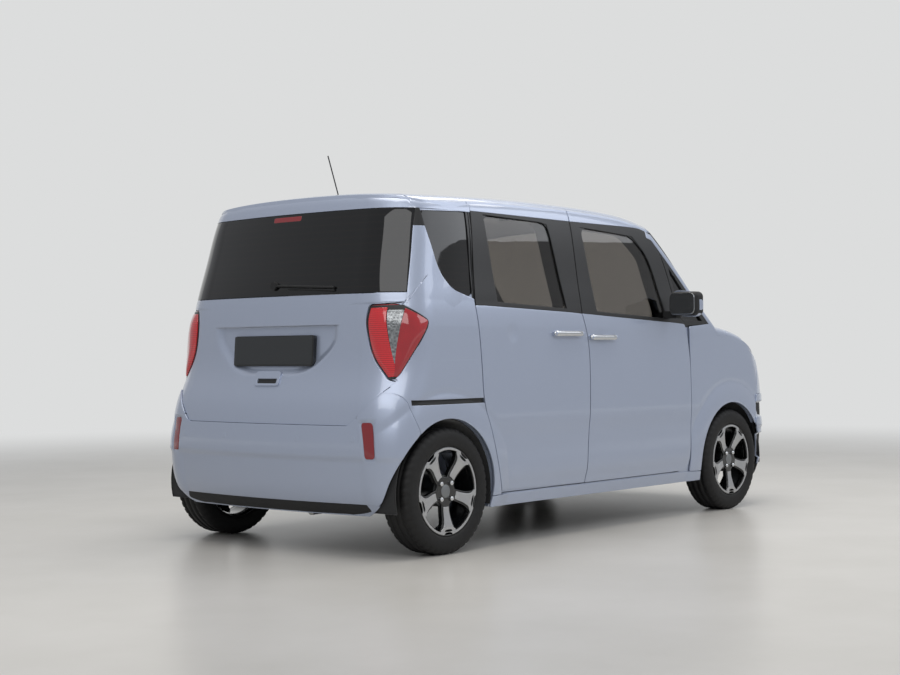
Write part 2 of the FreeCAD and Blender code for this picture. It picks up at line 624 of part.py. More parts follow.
cap_wall = size("skin_wall")
filler_room = flap_block(flap_radius + GAP).cut(hull(cap_wall + GAP))
filler_cup = flap_block(flap_radius * 0.8).cut(hull(size("frame_wall") * 0.8))
flap_rest = Part.makeCylinder(flap_radius * 0.08, HALF, flap_centre + V(flap_radius * 0.9, -INNER_Y, 0),
                              V(0, -1, 0))
flap_rest = flap_rest.common(shell(cap_wall + size("seat_gap"), size("door_skin") + GAP))
cap = Part.makeCylinder(flap_radius * 0.35, size("frame_wall") * 0.4,
                        V(flap_centre.x, size("frame_wall") * 0.85 - across(SIDE_SHARE), flap_centre.z),
                        V(0, -1, 0))
left_side = left_ring.cut(filler_room).cut(filler_cup).fuse([cap, flap_rest])
node("body_side_left", mirrored(biggest(left_side.removeSplitter())))
node("fuel_flap", mirrored(biggest(layer(flap_block(flap_radius), 0, cap_wall))))
node("roof", roof_shape)
node("windscreen", screen_shape)
node("bonnet", bonnet_shape)

# Doors and side glass.
node("slide_door", slide_door)
node("front_door_right", front_door)
node("front_door_left", mirrored(front_door))
node("rear_door_left", mirrored(rear_door))
slide_pane, front_pane, quarter_pane = pane(slide_window), pane(front_window), pane(quarter_window)
front_quarter_pane = pane(front_quarter)
node("slide_glass", slide_pane)
node("front_glass_right", front_pane)
node("front_glass_left", mirrored(front_pane))
node("rear_glass_left", mirrored(slide_pane))
node("quarter_glass", both_sides(quarter_pane, front_quarter_pane))

# Tailgate with its hollow for the number plate, its glass and the rear lamps.
glass_face, glass_block = rear_prism(GLASS_SHARES, REAR - OVER, HINGE_X)
recess_face, recess_block = rear_prism(RECESS_SHARES, REAR - OVER, REAR_AXLE)
tailgate = layer(tail_block.cut(ahead_of_hinge), 0, size("tailgate_wall"))
tailgate = tailgate.cut([glass_block, layer(recess_block, 0, size("tailgate_wall") / 2)])
node("tailgate", biggest(tailgate.removeSplitter()))
glass_front = grown(glass_face, -size("pane_gap")).extrude(V(HINGE_X - REAR + OVER, 0, 0))
rear_pane = layer(glass_front, size("glass_depth"), size("glass_depth") + size("glass_wall"))
node("tailgate_glass", biggest(rear_pane))
WIPER_SHARE, WIPER_DROP_SHARE = 0.730, 0.011


def tail_x(high_share, y):
    """X of the body's tail at a height and a distance from the centre line."""
    for below, above in zip(LEVEL_SHARES, LEVEL_SHARES[1:]):
        if below[0] <= high_share <= above[0]:
            k = (high_share - below[0]) / (above[0] - below[0])
            reach = below[2] + k * (above[2] - below[2])
            half = HALF * (below[1] + k * (above[1] - below[1]))
    return REAR_AXLE - reach * size("rear_overhang") + size("rear_bow") * (y / half) ** 2


def rear_wiper():
    """The wiper at rest across the foot of the rear glass: a spindle on the glass, an arm and a blade."""
    thick, boss_r, reach = size("wiper_radius"), size("wiper_boss"), size("wiper_length")
    start = V(tail_x(WIPER_SHARE, 0) - 2 * thick, 0, up(WIPER_SHARE))
    high = WIPER_SHARE - WIPER_DROP_SHARE
    end = V(tail_x(high, reach) - 2 * thick, -reach, up(high))
    spindle = Part.makeCylinder(boss_r, boss_r * 1.5, start - V(thick, 0, 0), V(1, 0, 0))
    blade_end = start + (end - start) * 0.25
    foot = size("glass_depth") + thick
    blade = [V(p.x, p.y, p.z - 2 * thick) for p in (blade_end, end)]
    rubber = Part.makePolygon([blade[0], blade[1], blade[1] + V(foot * 2, 0, 0),
                               blade[0] + V(foot * 2, 0, 0), blade[0]])
    rubber = Part.Face(rubber).extrude(V(0, 0, -thick))
    link = (blade[0] + blade[1]) / 2
    pieces = [spindle, rod(start, end, thick), rod(blade[0], blade[1], thick * 0.8), rubber,
              rod(link, link + V(0, 0, 2 * thick), thick * 0.8)]
    return biggest(fused(pieces).cut(hull(size("glass_depth"))))


node("rear_wiper", rear_wiper())
lamp = biggest(layer(lamp_block, 0, lamp_depth).cut(rear_bumper_side))
lamp = biggest(lamp.cut(tail_space))
node("tail_lamps", both_sides(lamp))

# Bumpers, wings and headlamps: thin skins.
skin = size("skin_wall")
bumper_points = [(p[0], p[1] - (GAP / HEIGHT if p[1] > BUMPER_SIDE_SHARES[4][1] else 0)) + p[2:]
                 for p in BUMPER_SIDE_SHARES]
rear_skin_block = side_face(bumper_points)
rear_skin_block.translate(V(0, -HALF - OVER, 0))
rear_skin_block = rear_skin_block.extrude(V(0, WIDTH + 2 * OVER, 0))
rear_bumper = layer(rear_skin_block, 0,
                    skin).cut([tail_space, wheel_space, mirrored(wheel_space), lamp_space,
                               mirrored(lamp_space)])
node("rear_bumper", biggest(rear_bumper.removeSplitter()))
front_block = side_face(FRONT_BUMPER_SHARES)
front_block.translate(V(0, -HALF - OVER, 0))
front_block = front_block.extrude(V(0, WIDTH + 2 * OVER, 0))
front_space = arch(FRONT_AXLE, size("arch_radius"), INNER_Y)
intake = slab(FRONT_AXLE, LENGTH / 2 + OVER, across(-0.52), across(0.52), up(0.165), up(0.25))
nose_opening = slab(FRONT_AXLE, LENGTH / 2 + OVER, across(-0.42), across(0.42), up(0.31), up(0.36))
front_bumper = layer(front_block, 0, skin).cut([front_space, mirrored(front_space), intake, nose_opening])
node("front_bumper", biggest(front_bumper.removeSplitter()))
front_lamp_block = to_side(side_face(LAMP_SHARES), -1, across(0.50))
headlamp = biggest(layer(front_lamp_block, 0, lamp_depth).cut(bonnet_seam))
node("headlamps", both_sides(headlamp))
wing_block = to_side(side_face(WING_SHARES), -1, across(0.40))
lamp_seam = to_side(grown(side_face(LAMP_SHARES), GAP / 2), -1, across(0.50))
wing = layer(wing_block, 0,
             skin).cut([bonnet_seam, lamp_seam, screen_block, cowl_block, front_space, front_block])
front_swell = flare(FRONT_AXLE).cut(hull(0)).common(wing_block).cut([front_space, front_block])
wing = biggest(wing.fuse(front_swell).removeSplitter())
node("wing_right", wing)
node("wing_left", mirrored(wing))
face_half = across(0.40) - size("seat_gap")
face_block = slab(FRONT_AXLE, LENGTH / 2 + OVER, -face_half, face_half, up(0.387) + GAP, up(0.62))
node("front_panel", biggest(layer(face_block, 0, skin).cut([bonnet_seam, lamp_seam, mirrored(lamp_seam)])))
node("cowl", biggest(layer(cowl_block, 0, size("roof_wall")).cut([screen_block, bonnet_seam])))

# Structure under the cabin.
floor_low, floor_high = size("floor_height"), size("floor_height") + size("floor_wall")
inner_wall = size("frame_wall")
front_room = size("arch_radius") + size("overrun")
wheel_inner = across(0.545)
FIREWALL = FRONT_AXLE - front_room - size("arch_wall") - 2 * OVER
DASH_SHARE = 0.50
STEP_X = along(0.35)
rear_low = up(0.235)
rear_high = rear_low + size("floor_wall")
inside = hull(inner_wall + size("seat_gap"))
pan = slab(STEP_X, FIREWALL + size("floor_wall"), -HALF, HALF, floor_low, floor_high)
pan = pan.fuse(slab(STEP_X, STEP_X + size("floor_wall"), -HALF, HALF, floor_low, rear_high))
pan = pan.fuse(slab(REAR, STEP_X + size("floor_wall"), -HALF, HALF, rear_low, rear_high))
pan = pan.fuse(slab(FIREWALL, FIREWALL + size("floor_wall"), across(-0.86), across(0.86), floor_low,
                    up(DASH_SHARE)))
pan = pan.common(inside)
house_room = slab(REAR_AXLE - size("arch_radius") - size("arch_wall"),
                  REAR_AXLE + size("arch_radius") + size("arch_wall"),
                  -HALF, -INNER_Y, 0, HEIGHT)
panel_depth = skin + OVER
back_panel = slab(REAR, REAR_AXLE - size("arch_radius") - OVER, -HALF, HALF, floor_low + OVER, up(0.338))
back_panel = back_panel.common(hull(panel_depth)).cut(hull(panel_depth + size("floor_wall")))
tail_floor = slab(REAR, REAR_AXLE - size("arch_radius") - OVER, -HALF, HALF, rear_low,
                  rear_high).common(hull(panel_depth + size("floor_wall") / 2))
pan = pan.fuse([back_panel, tail_floor]).cut([house_room, mirrored(house_room)])
node("floor_pan", biggest(pan))


def bind(thing, **sizes):
    """Ties an object's properties to the sheet. Each value: an alias, or an alias and a factor."""
    for name, terms in sizes.items():
        if isinstance(terms, str):
            terms = [(terms, 1)]
        thing.setExpression(name, " + ".join("Sizes.%s * %s" % (alias, factor) for alias, factor in terms))
    return thing


def tube(name, radius, length, start, run):
    """A round bar of the document, bound to the sheet, from start towards run."""
    thing = doc.addObject("Part::Cylinder", name)
    bind(thing, Radius=radius, Height=length)
    thing.Placement = FreeCAD.Placement(start, FreeCAD.Rotation(V(0, 0, 1), run))
    return thing


def box(name, length, width, height, corner):
    """A block of the document, bound to the sheet, from its lowest corner."""
    thing = doc.addObject("Part::Box", name)
    bind(thing, Length=length, Width=width, Height=height)
    thing.Placement = FreeCAD.Placement(corner, FreeCAD.Rotation())
    return thing


def fused_in(name, pieces):
    """Pieces of the document fused into one object of it."""
    whole = doc.addObject("Part::MultiFuse", name)
    whole.Shapes = pieces
    whole.Refine = True
    return whole


def joined(name, pieces):
    """One sub-part fused from pieces of the document."""
    whole = fused_in(name, pieces)
    whole.Label = name
    NODES.append(whole)
    return whole


# Wheels, drawn about the hub with the outer side towards +Y.
TO_AXLE = FreeCAD.Placement(V(0, 0, 0), FreeCAD.Rotation(V(1, 0, 0), -90))
rim_back, rim_front = -size("rim_width") / 2, size("rim_width") / 2


def turned(profile):
    """A ring turned about the wheel's axis. Profile: radius and place along the axis, outwards."""
    wire = Part.makePolygon([V(r, 0, a) for r, a in profile + profile[:1]])
    ring = Part.Face(wire).revolve(V(0, 0, 0), V(0, 0, 1), 360)
    ring = ring if isinstance(ring, Part.Solid) else Part.Solid(ring.Shells[0]) if ring.Shells else ring
    ring.Placement = TO_AXLE
    return ring


tyre_out, tread, shoulder = size("tyre_radius"), size("tyre_width") / 2, size("tyre_wall")
rim_out, rim_wall = size("rim_radius"), size("rim_wall")
TYRE_PROFILE = [(rim_out, rim_front), (rim_out + 2 * shoulder, tread), (tyre_out - 2 * shoulder, tread),
                (tyre_out - shoulder / 2, tread - shoulder), (tyre_out, tread - 2 * shoulder),
                (tyre_out, -tread + 2 * shoulder), (tyre_out - shoulder / 2, -tread + shoulder),
                (tyre_out - 2 * shoulder, -tread), (rim_out + 2 * shoulder, -tread), (rim_out, rim_back),
                (rim_out, rim_back + shoulder), (rim_out + shoulder, -tread + shoulder * 1.5),
                (tyre_out - 2 * shoulder, -tread + shoulder), (tyre_out - shoulder, -tread + 2 * shoulder),
                (tyre_out - shoulder, tread - 2 * shoulder), (tyre_out - 2 * shoulder, tread - shoulder),
                (rim_out + shoulder, tread - shoulder * 1.5), (rim_out, rim_front - shoulder)]
depth, hub, bore = size("spoke_depth"), size("hub_radius"), size("axle_pin") + size("pin_clearance")
BARREL_PROFILE = [(rim_out, rim_back), (rim_out, rim_back + shoulder),
                  (rim_out - 2 * rim_wall, rim_back + 2 * shoulder),
                  (rim_out - 2 * rim_wall, rim_front - 2 * shoulder), (rim_out, rim_front - shoulder),
                  (rim_out, rim_front), (rim_out - rim_wall, rim_front),
                  (rim_out - 3 * rim_wall, rim_front - 2 * shoulder),
                  (rim_out - 3 * rim_wall, rim_back + 2 * shoulder), (rim_out - rim_wall, rim_back)]
DISC_PROFILE = [(bore, rim_front - depth), (hub, rim_front - depth), (hub, rim_front - depth * 0.4),
                (bore, rim_front - depth * 0.4)]


SPOKES, LUGS = 5, 4


def spoke(turn):
    """One spoke of the rim, wider where it meets the barrel."""
    inner, outer = size("spoke_width") * 0.45, size("spoke_width") * 0.95
    start, end = hub - rim_wall, rim_out - 2.5 * rim_wall
    face = Part.Face(Part.makePolygon([V(start, -inner, 0), V(end, -outer, 0), V(end, outer, 0),
                                       V(start, inner, 0), V(start, -inner, 0)]))
    notch = Part.Face(Part.makePolygon([V(end, -outer * 0.55, 0), V(start + (end - start) * 0.45, 0, 0),
                                        V(end, outer * 0.55, 0), V(end, -outer * 0.55, 0)]))
    blade = face.extrude(V(0, 0,
                           depth)).cut(notch.extrude(V(0, 0, depth * 0.5)).translated(V(0, 0, depth * 0.5)))
    blade.translate(V(0, 0, rim_front - depth))
    blade.rotate(V(0, 0, 0), V(0, 0, 1), turn)
    return blade.transformed(TO_AXLE.Matrix)


def wheel_rim():
    """The alloy rim: barrel, hub and forked spokes, with a hole for each lug nut."""
    parts = [turned(BARREL_PROFILE),
             turned(DISC_PROFILE)] + [spoke(k * 360 / SPOKES) for k in range(SPOKES)]
    rim = fused(parts)
    holes = []
    for k in range(LUGS):
        turn = (k + 0.5) * 2 * math.pi / LUGS
        reach = size("lug_circle") / 2
        holes.append(Part.makeCylinder(size("lug_hole") / 2, WIDTH / 2,
                                       V(reach * math.cos(turn), -WIDTH / 4, reach * math.sin(turn)),
                                       V(0, 1, 0)))
    return biggest(rim.cut(holes))


tyre_shape = turned(TYRE_PROFILE)
rim_shape = wheel_rim()
WHEELS = {"front_left": (FRONT_AXLE, 1), "front_right": (FRONT_AXLE, -1), "rear_left": (REAR_AXLE, 1),
          "rear_right": (REAR_AXLE, -1)}


def at_wheel(shape, corner):
    """A shape drawn about the hub with its outer side towards +Y, set at one of the four wheels."""
    axle, hand = WHEELS[corner]
    moved = shape.copy() if hand > 0 else mirrored(shape)
    moved.translate(V(axle, hand * WHEEL_Y, HUB))
    return moved


for corner in WHEELS:
    node("tyre_" + corner, at_wheel(tyre_shape, corner))
    node("rim_" + corner, at_wheel(rim_shape, corner))


# Running gear. Each knuckle turns about an upright line through its strut.
pin_r, strut_r, disc_r = size("axle_pin"), size("strut_radius"), size("disc_radius")
run_gap = size("running_gap")
hub_face = WHEEL_Y + rim_front - depth
disc_wall = size("disc_wall")
KINGPIN_Y = WHEEL_Y - tread - 2 * strut_r
arm_length = size("steer_arm")
ARM_Z = HUB + strut_r
block_half = strut_r * 1.6
tower_z = up(0.46)


def knuckle(hand, side):
    """Upright, strut, steering arm, brake caliper and the axle pin that the wheel turns on."""
    y = hand * KINGPIN_Y
    out = V(0, hand, 0)
    block = box("upright_" + side, [("strut_radius", 3.2)], [("strut_radius", 2)], [("strut_radius", 5.2)],
                V(FRONT_AXLE - block_half, y - strut_r, HUB - 2.6 * strut_r))
    strut = tube("strut_" + side, "strut_radius", [("arch_radius", 1), ("overrun", 1), ("seat_gap", -4)],
                 V(FRONT_AXLE, y, HUB), V(0, 0, 1))
    cup = tube("spring_cup_" + side, [("strut_radius", 1.9)], [("strut_radius", 0.4)],
               V(FRONT_AXLE, y, HUB + tyre_out + 2 * strut_r), V(0, 0, 1))
    pin = tube("axle_" + side, "axle_pin",
               [("tyre_width", 0.5), ("strut_radius", 2), ("rim_width", 0.5), ("spoke_depth", -0.4)],
               V(FRONT_AXLE, y, HUB), out)
    arm = box("arm_" + side, [("steer_arm", 1)], [("strut_radius", 1)], [("strut_radius", 0.5)],
              V(FRONT_AXLE - arm_length, y - strut_r / 2, ARM_Z))
    boss = tube("arm_eye_" + side, [("strut_radius", 0.7)], [("strut_radius", 0.5)],
                V(FRONT_AXLE - arm_length, y, ARM_Z), V(0, 0, 1))
    grip = box("caliper_" + side, [("disc_radius", 0.45)], [("disc_wall", 4), ("strut_radius", 2)],
               [("disc_radius", 0.9)],
               V(FRONT_AXLE + disc_r * 0.72,
                 min(hand * (KINGPIN_Y - strut_r), hand * (KINGPIN_Y + strut_r + 4 * disc_wall)),
                 HUB - disc_r * 0.45))
    bridge = box("caliper_carrier_" + side, [("disc_radius", 0.9)], [("strut_radius", 1)],
                 [("strut_radius", 1)],
                 V(FRONT_AXLE, y - strut_r / 2, HUB - strut_r / 2))
    solid = fused_in("knuckle_core_" + side, [block, strut, cup, arm, boss, grip, bridge])
    room = tube("disc_room_" + side, [("disc_radius", 1), ("running_gap", 1)],
                [("disc_wall", 1), ("running_gap", 2)],
                V(FRONT_AXLE, hand * (KINGPIN_Y + strut_r), HUB), out)
    cut = doc.addObject("Part::Cut", "knuckle_cut_" + side)
    cut.Base, cut.Tool = solid, room
    return joined("knuckle_" + side, [cut, pin])


knuckle(1, "left")
knuckle(-1, "right")


def brake_disc():
    """The front brake disc with its hat, drawn about the hub with its outer side towards +Y."""
    inner = KINGPIN_Y + strut_r + run_gap - WHEEL_Y
    profile = [(bore, hub_face - WHEEL_Y - disc_wall / 2), (bore, hub_face - WHEEL_Y),
               (hub, hub_face - WHEEL_Y), (hub, inner + disc_wall),
               (disc_r, inner + disc_wall), (disc_r, inner), (hub - disc_wall / 2, inner),
               (hub - disc_wall / 2, hub_face - WHEEL_Y - disc_wall / 2)]
    return turned(profile)


disc_shape = brake_disc()
for corner in ("front_left", "front_right"):
    node("brake_disc_" + corner, at_wheel(disc_shape, corner))

# Front structure: wheelhouses and rails, then the subframe under them.
liner_room = size("arch_radius") + size("overrun")
rail_x = FIREWALL + size("floor_wall")
rail_half = size("beam_radius")
arm_half = strut_r * 0.9
RACK_X = FRONT_AXLE - arm_length
RACK_Z = ARM_Z + strut_r / 2 + run_gap + size("rod_radius")
front_house = liner(FRONT_AXLE, liner_room, wheel_inner,
                    across(SIDE_SHARE) - inner_wall / 2).common(hull(skin))
front_house = front_house.cut([wing, layer(front_block, 0, skin)])
rail = slab(rail_x, FRONT_AXLE + liner_room + rail_half, -wheel_inner, -wheel_inner + 2 * rail_half,
            floor_high, floor_high + 2 * rail_half)
crossbar = slab(FRONT_AXLE + liner_room, FRONT_AXLE + liner_room + rail_half, -wheel_inner, wheel_inner,
                floor_high, floor_high + 2 * rail_half)
rack_hole = Part.makeCylinder(size("rod_radius") + run_gap, WIDTH, V(RACK_X, -HALF, RACK_Z), V(0, 1, 0))
arm_hole = slab(FRONT_AXLE - arm_half - run_gap, FRONT_AXLE + arm_half + run_gap, -HALF, HALF, 0,
                HUB - 2.6 * strut_r)
structure = fused([front_house, mirrored(front_house), rail, mirrored(rail), crossbar]).cut([rack_hole,
                                                                                             arm_hole])
node("front_structure", biggest(structure))

sub = box("subframe_plate", [("steer_arm", 3)], [("track", 0.545)], [("beam_radius", 1)],
          V(FRONT_AXLE - 1.5 * arm_length, -0.2725 * size("track"), floor_high - rail_half))
lower = []
rack_rise = [("tyre_radius", 1), ("strut_radius", 1.5), ("running_gap", 1), ("rod_radius", 1),
             ("floor_height", -1),
             ("floor_wall", -1), ("beam_radius", 0.5)]
for hand, side in ((1, "left"), (-1, "right")):
    start = hand * 0.25 * size("track")
    end = hand * (KINGPIN_Y + strut_r / 2)
    lower.append(box("lower_arm_" + side, [("strut_radius", 1.8)],
                     [("track", 0.25), ("tyre_width", -0.5), ("strut_radius", -1.5)],
                     [("strut_radius", 0.8)],
                     V(FRONT_AXLE - arm_half, min(start, end),
                       HUB - 2.6 * strut_r - size("seat_gap") - 0.8 * strut_r)))
    post = box("rack_post_" + side, [("rack_radius", 1.6)], [("rack_radius", 1.6)], rack_rise,
               V(RACK_X - 0.8 * size("rack_radius"),
                 hand * 0.16 * size("track") - 0.8 * size("rack_radius"), floor_high - rail_half / 2))
    lower.append(post)
housing = tube("rack_housing", "rack_radius", [("track", 0.42)], V(RACK_X, -0.21 * size("track"), RACK_Z),
               V(0, 1, 0))
rack_bore = tube("rack_bore", [("rod_radius", 1), ("pin_clearance", 1)], [("track", 0.6)],
                 V(RACK_X, -0.3 * size("track"), RACK_Z), V(0, 1, 0))
frame_core = fused_in("subframe_core", [sub, housing] + lower)
frame_cut = doc.addObject("Part::Cut", "front_subframe")
frame_cut.Base, frame_cut.Tool = frame_core, rack_bore
frame_cut.Label = "front_subframe"
NODES.append(frame_cut)
bar = tube("rack_bar", "rod_radius", [("track", 1), ("tyre_width", -1), ("strut_radius", -4)],
           V(RACK_X, -KINGPIN_Y, RACK_Z), V(0, 1, 0))
bar.Label = "rack_bar"
NODES.append(bar)

# Power unit, radiator, exhaust and tank.
engine_low = up(0.228)
engine = box("engine_core", [("wheelbase", 0.21)], [("track", 0.46)], [("body_height", 0.22)],
             V(FRONT_AXLE - 0.09 * WHEELBASE, -0.23 * size("track"), engine_low))
feet = [box("engine_foot_%d" % k, [("beam_radius", 1)], [("beam_radius", 1)],
            [("body_height", 0.24), ("floor_height", -1), ("floor_wall", -1)],
            V(FRONT_AXLE + 0.5 * arm_length, side * 0.14 * size("track") - rail_half / 2,
              floor_high)) for k, side in enumerate((-1, 1))]
joined("engine", [engine] + feet)
radiator = box("radiator", [("beam_radius", 1)], [("track", 0.44)], [("body_height", 0.20)],
               V(FRONT_AXLE + liner_room, -0.22 * size("track"), floor_high + 2 * rail_half))
radiator.Label = "radiator"
NODES.append(radiator)
PIPE_Y, pipe_r = -0.1 * size("track"), size("pipe_radius")
PIPE_Z = floor_low - pipe_r - size("running_gap")
MUFFLER_X = REAR_AXLE - 0.56 * size("rear_overhang")
pipe_start = FRONT_AXLE - 1.7 * arm_length
exhaust = [
    tube("downpipe", "pipe_radius",
         [("body_height", 0.228), ("floor_height", -1), ("running_gap", 1), ("pipe_radius", 1)],
         V(pipe_start, PIPE_Y, PIPE_Z), V(0, 0, 1)),
    tube("long_pipe", "pipe_radius", [("wheelbase", 1), ("steer_arm", -1.7), ("rear_overhang", 0.56)],
         V(MUFFLER_X, PIPE_Y, PIPE_Z), V(1, 0, 0)),
    tube("rise_pipe", "pipe_radius", [("muffler_radius", 1.4)], V(MUFFLER_X, PIPE_Y, PIPE_Z), V(0, 0, 1)),
    tube("muffler", "muffler_radius", "muffler_length",
         V(MUFFLER_X, PIPE_Y - size("muffler_length") / 2, PIPE_Z + 1.4 * size("muffler_radius")),
         V(0, 1, 0)),
]
joined("exhaust", exhaust)
tank = box("fuel_tank", [("wheelbase", 0.15)], [("track", 0.62)],
           [("body_height", 0.235), ("floor_height", -1), ("floor_wall", -1)],
           V(STEP_X - 0.152 * WHEELBASE, -0.31 * size("track"), floor_high))
tank.Label = "fuel_tank"
NODES.append(tank)

# Rear axle: a beam, trailing arms, springs, dampers and stub pins.
beam_r, drum_depth = size("beam_radius"), size("drum_depth")
hub_y = WHEEL_Y - tread - 2 * strut_r
rear = [tube("rear_beam", "beam_radius", [("track", 1), ("tyre_width", -1), ("strut_radius", -4)],
             V(REAR_AXLE, -hub_y, HUB), V(0, 1, 0))]
for hand, side in ((1, "left"), (-1, "right")):
    spring_y = hand * (INNER_Y - 1.4 * size("spring_radius"))
    rear.append(tube("stub_" + side, "axle_pin",
                     [("tyre_width", 0.5), ("strut_radius", 2), ("rim_width", 0.5), ("spoke_depth", -0.4)],
                     V(REAR_AXLE, hand * hub_y, HUB), V(0, hand, 0)))
    rear.append(tube("spring_" + side, "spring_radius",
                     [("body_height", 0.235), ("tyre_radius", -1), ("seat_gap", -1)],
                     V(REAR_AXLE, spring_y, HUB), V(0, 0, 1)))
    rear.append(box("trailing_arm_" + side, [("wheelbase", 0.16)], [("beam_radius", 1.2)],
                    [("beam_radius", 1.4)],
                    V(REAR_AXLE, spring_y - 0.6 * beam_r, HUB - 0.7 * beam_r)))
joined("rear_axle", rear)
drum_inner = hub_y + run_gap - WHEEL_Y
drum_r = size("drum_radius")
drum_profile = [(bore, hub_face - WHEEL_Y - disc_wall / 2), (bore, hub_face - WHEEL_Y),
                (hub, hub_face - WHEEL_Y),
                (hub, drum_inner + drum_depth), (drum_r, drum_inner + drum_depth), (drum_r, drum_inner),
                (drum_r - disc_wall / 2, drum_inner),
                (drum_r - disc_wall / 2, drum_inner + drum_depth - disc_wall / 2),
                (hub - disc_wall / 2, drum_inner + drum_depth - disc_wall / 2),
                (hub - disc_wall / 2, hub_face - WHEEL_Y - disc_wall / 2)]
drum_shape = turned(drum_profile)
for corner in ("rear_left", "rear_right"):
    node("brake_drum_" + corner, at_wheel(drum_shape, corner))

# Cabin: seats, dashboard and steering wheel.
seat_w, seat_d, seat_h = size("seat_width"), size("seat_depth"), size("cushion_height")


def seat(name, width, x, y, base):
    """A plain padded seat: cushion, leaning back and headrests."""
    bevel = seat_h * 0.3
    cushion = Part.makeBox(seat_d, width, seat_h, V(x, y - width / 2, base))
    cushion = cushion.makeFillet(bevel, cushion.Edges)
    back = Part.makeBox(size("back_wall"), width, size("back_height"),
                        V(x - size("back_wall") * 0.3, y - width / 2, base + seat_h * 0.4))
    back = back.makeFillet(bevel, back.Edges)
    back.rotate(V(x, y, base + seat_h), V(0, 1, 0), -size("seat_lean"))
    rests = []
    for k in range(max(1, round(width / seat_w))):
        middle = y + (k - (max(1, round(width / seat_w)) - 1) / 2) * seat_w
        rest = Part.makeBox(size("back_wall") * 0.8, seat_w * 0.5, size("headrest_height"),
                            V(x - size("back_wall") * 0.2, middle - seat_w * 0.25,
                              base + size("back_height") + seat_h * 0.3))
        rest = rest.makeFillet(bevel, rest.Edges)
        rest.rotate(V(x, y, base + seat_h), V(0, 1, 0), -size("seat_lean"))
        rests.append(rest)
    node(name, fused([cushion, back] + rests))


seat_y = 0.5 * size("track") * 0.51
front_seat_x = along(0.475)
stands = []
for hand, side in ((1, "left"), (-1, "right")):
    seat("front_seat_" + side, seat_w, front_seat_x, hand * seat_y, floor_high + seat_h)
    stands.append(box("seat_rails_" + side, [("seat_depth", 0.8)], [("seat_width", 0.7)], "cushion_height",
                      V(front_seat_x + 0.1 * seat_d, hand * seat_y - 0.35 * seat_w, floor_high)))
joined("seat_frames", stands)
seat("rear_bench", size("bench_width"), along(0.16), 0, rear_high)
dash_x = along(0.68)
dash = Part.makeBox(along(0.965) - dash_x, 2 * across(0.90), up(0.12),
                    V(dash_x, -across(0.90), up(DASH_SHARE)))
rear_edges = [edge for edge in dash.Edges
              if edge.BoundBox.XMax < dash_x + GAP and edge.BoundBox.YLength > HALF]
dash = dash.makeFillet(up(0.02), rear_edges)
wheel_x, wheel_z, grip = dash_x - 0.07 * WHEELBASE, up(0.555), size("wheel_grip")
COLUMN = V(1, 0, -0.42).normalize()
column_hole = Part.makeCylinder(size("rack_radius") + size("seat_gap"), WHEELBASE / 5,
                                V(wheel_x, seat_y, wheel_z), COLUMN)
node("dashboard", biggest(dash.common(inside).cut(column_hole)))
ring = Part.makeTorus(grip, size("grip_radius"), V(wheel_x, seat_y, wheel_z), COLUMN)
boss = Part.makeCylinder(grip * 0.36, grip * 0.2, V(wheel_x, seat_y, wheel_z) - COLUMN * (grip * 0.05),
                         COLUMN)
column = Part.makeCylinder(size("rack_radius"), grip * 1.25, V(wheel_x, seat_y, wheel_z), COLUMN)
bars = [rod(V(wheel_x, seat_y, wheel_z), V(wheel_x, seat_y + hand * grip, wheel_z),
            size("grip_radius") * 0.8) for hand in (1, -1)]
node("steering_wheel", fused([ring, boss, column] + bars))

# Outside fittings.
mirror_w, mirror_h, mirror_d = size("mirror_width"), size("mirror_height"), size("mirror_depth")


def mirror_unit(hand, side):
    """A door mirror on its stalk, with its glass facing back."""
    x, z = along(0.722), up(0.652)
    near = across(0.966)
    case = Part.makeBox(mirror_d, mirror_w, mirror_h, V(x, -near - mirror_w * 1.25, z))
    case = case.makeFillet(mirror_d * 0.3, case.Edges)
    stalk = Part.makeBox(mirror_d * 0.5, mirror_w * 0.5, mirror_h * 0.3,
                         V(x + mirror_d * 0.25, -near - mirror_w * 0.45, z - mirror_h * 0.1))
    unit = biggest(fused([case, stalk]).cut([front_door, front_pane]))
    node("mirror_" + side, unit if hand < 0 else mirrored(unit))


mirror_unit(-1, "right")
mirror_unit(1, "left")
aerial_base = V(along(0.047), 0, HEIGHT)
aerial = rod(aerial_base - V(0, 0, OVER), aerial_base + V(-0.45, 0, 1) * size("aerial_length"),
             size("aerial_radius"))
foot = Part.makeCone(size("aerial_radius") * 5, size("aerial_radius") * 2, size("aerial_radius") * 5,
                     aerial_base - V(0, 0, size("aerial_radius") * 4))
node("aerial", biggest(fused([aerial, foot]).cut(hull(0))))

# Checks, then one file for each sub-part.
doc.recompute()
for thing in doc.Objects:
    if "Invalid" in thing.State or "Error" in thing.State:
        raise RuntimeError("%s failed: %s" % (thing.Label, thing.State))
for feature in NODES:
    shape = feature.Shape
    if shape.isNull() or not shape.isValid() or shape.Volume <= 0:
        raise RuntimeError("%s has no valid shape" % feature.Label)
os.makedirs("parts", exist_ok=True)
for feature in NODES:
    feature.Shape.exportStep("parts/%s.step" % feature.Label)
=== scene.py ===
import math

import bmesh
import bpy
import numpy as np
from mathutils import Matrix, Vector


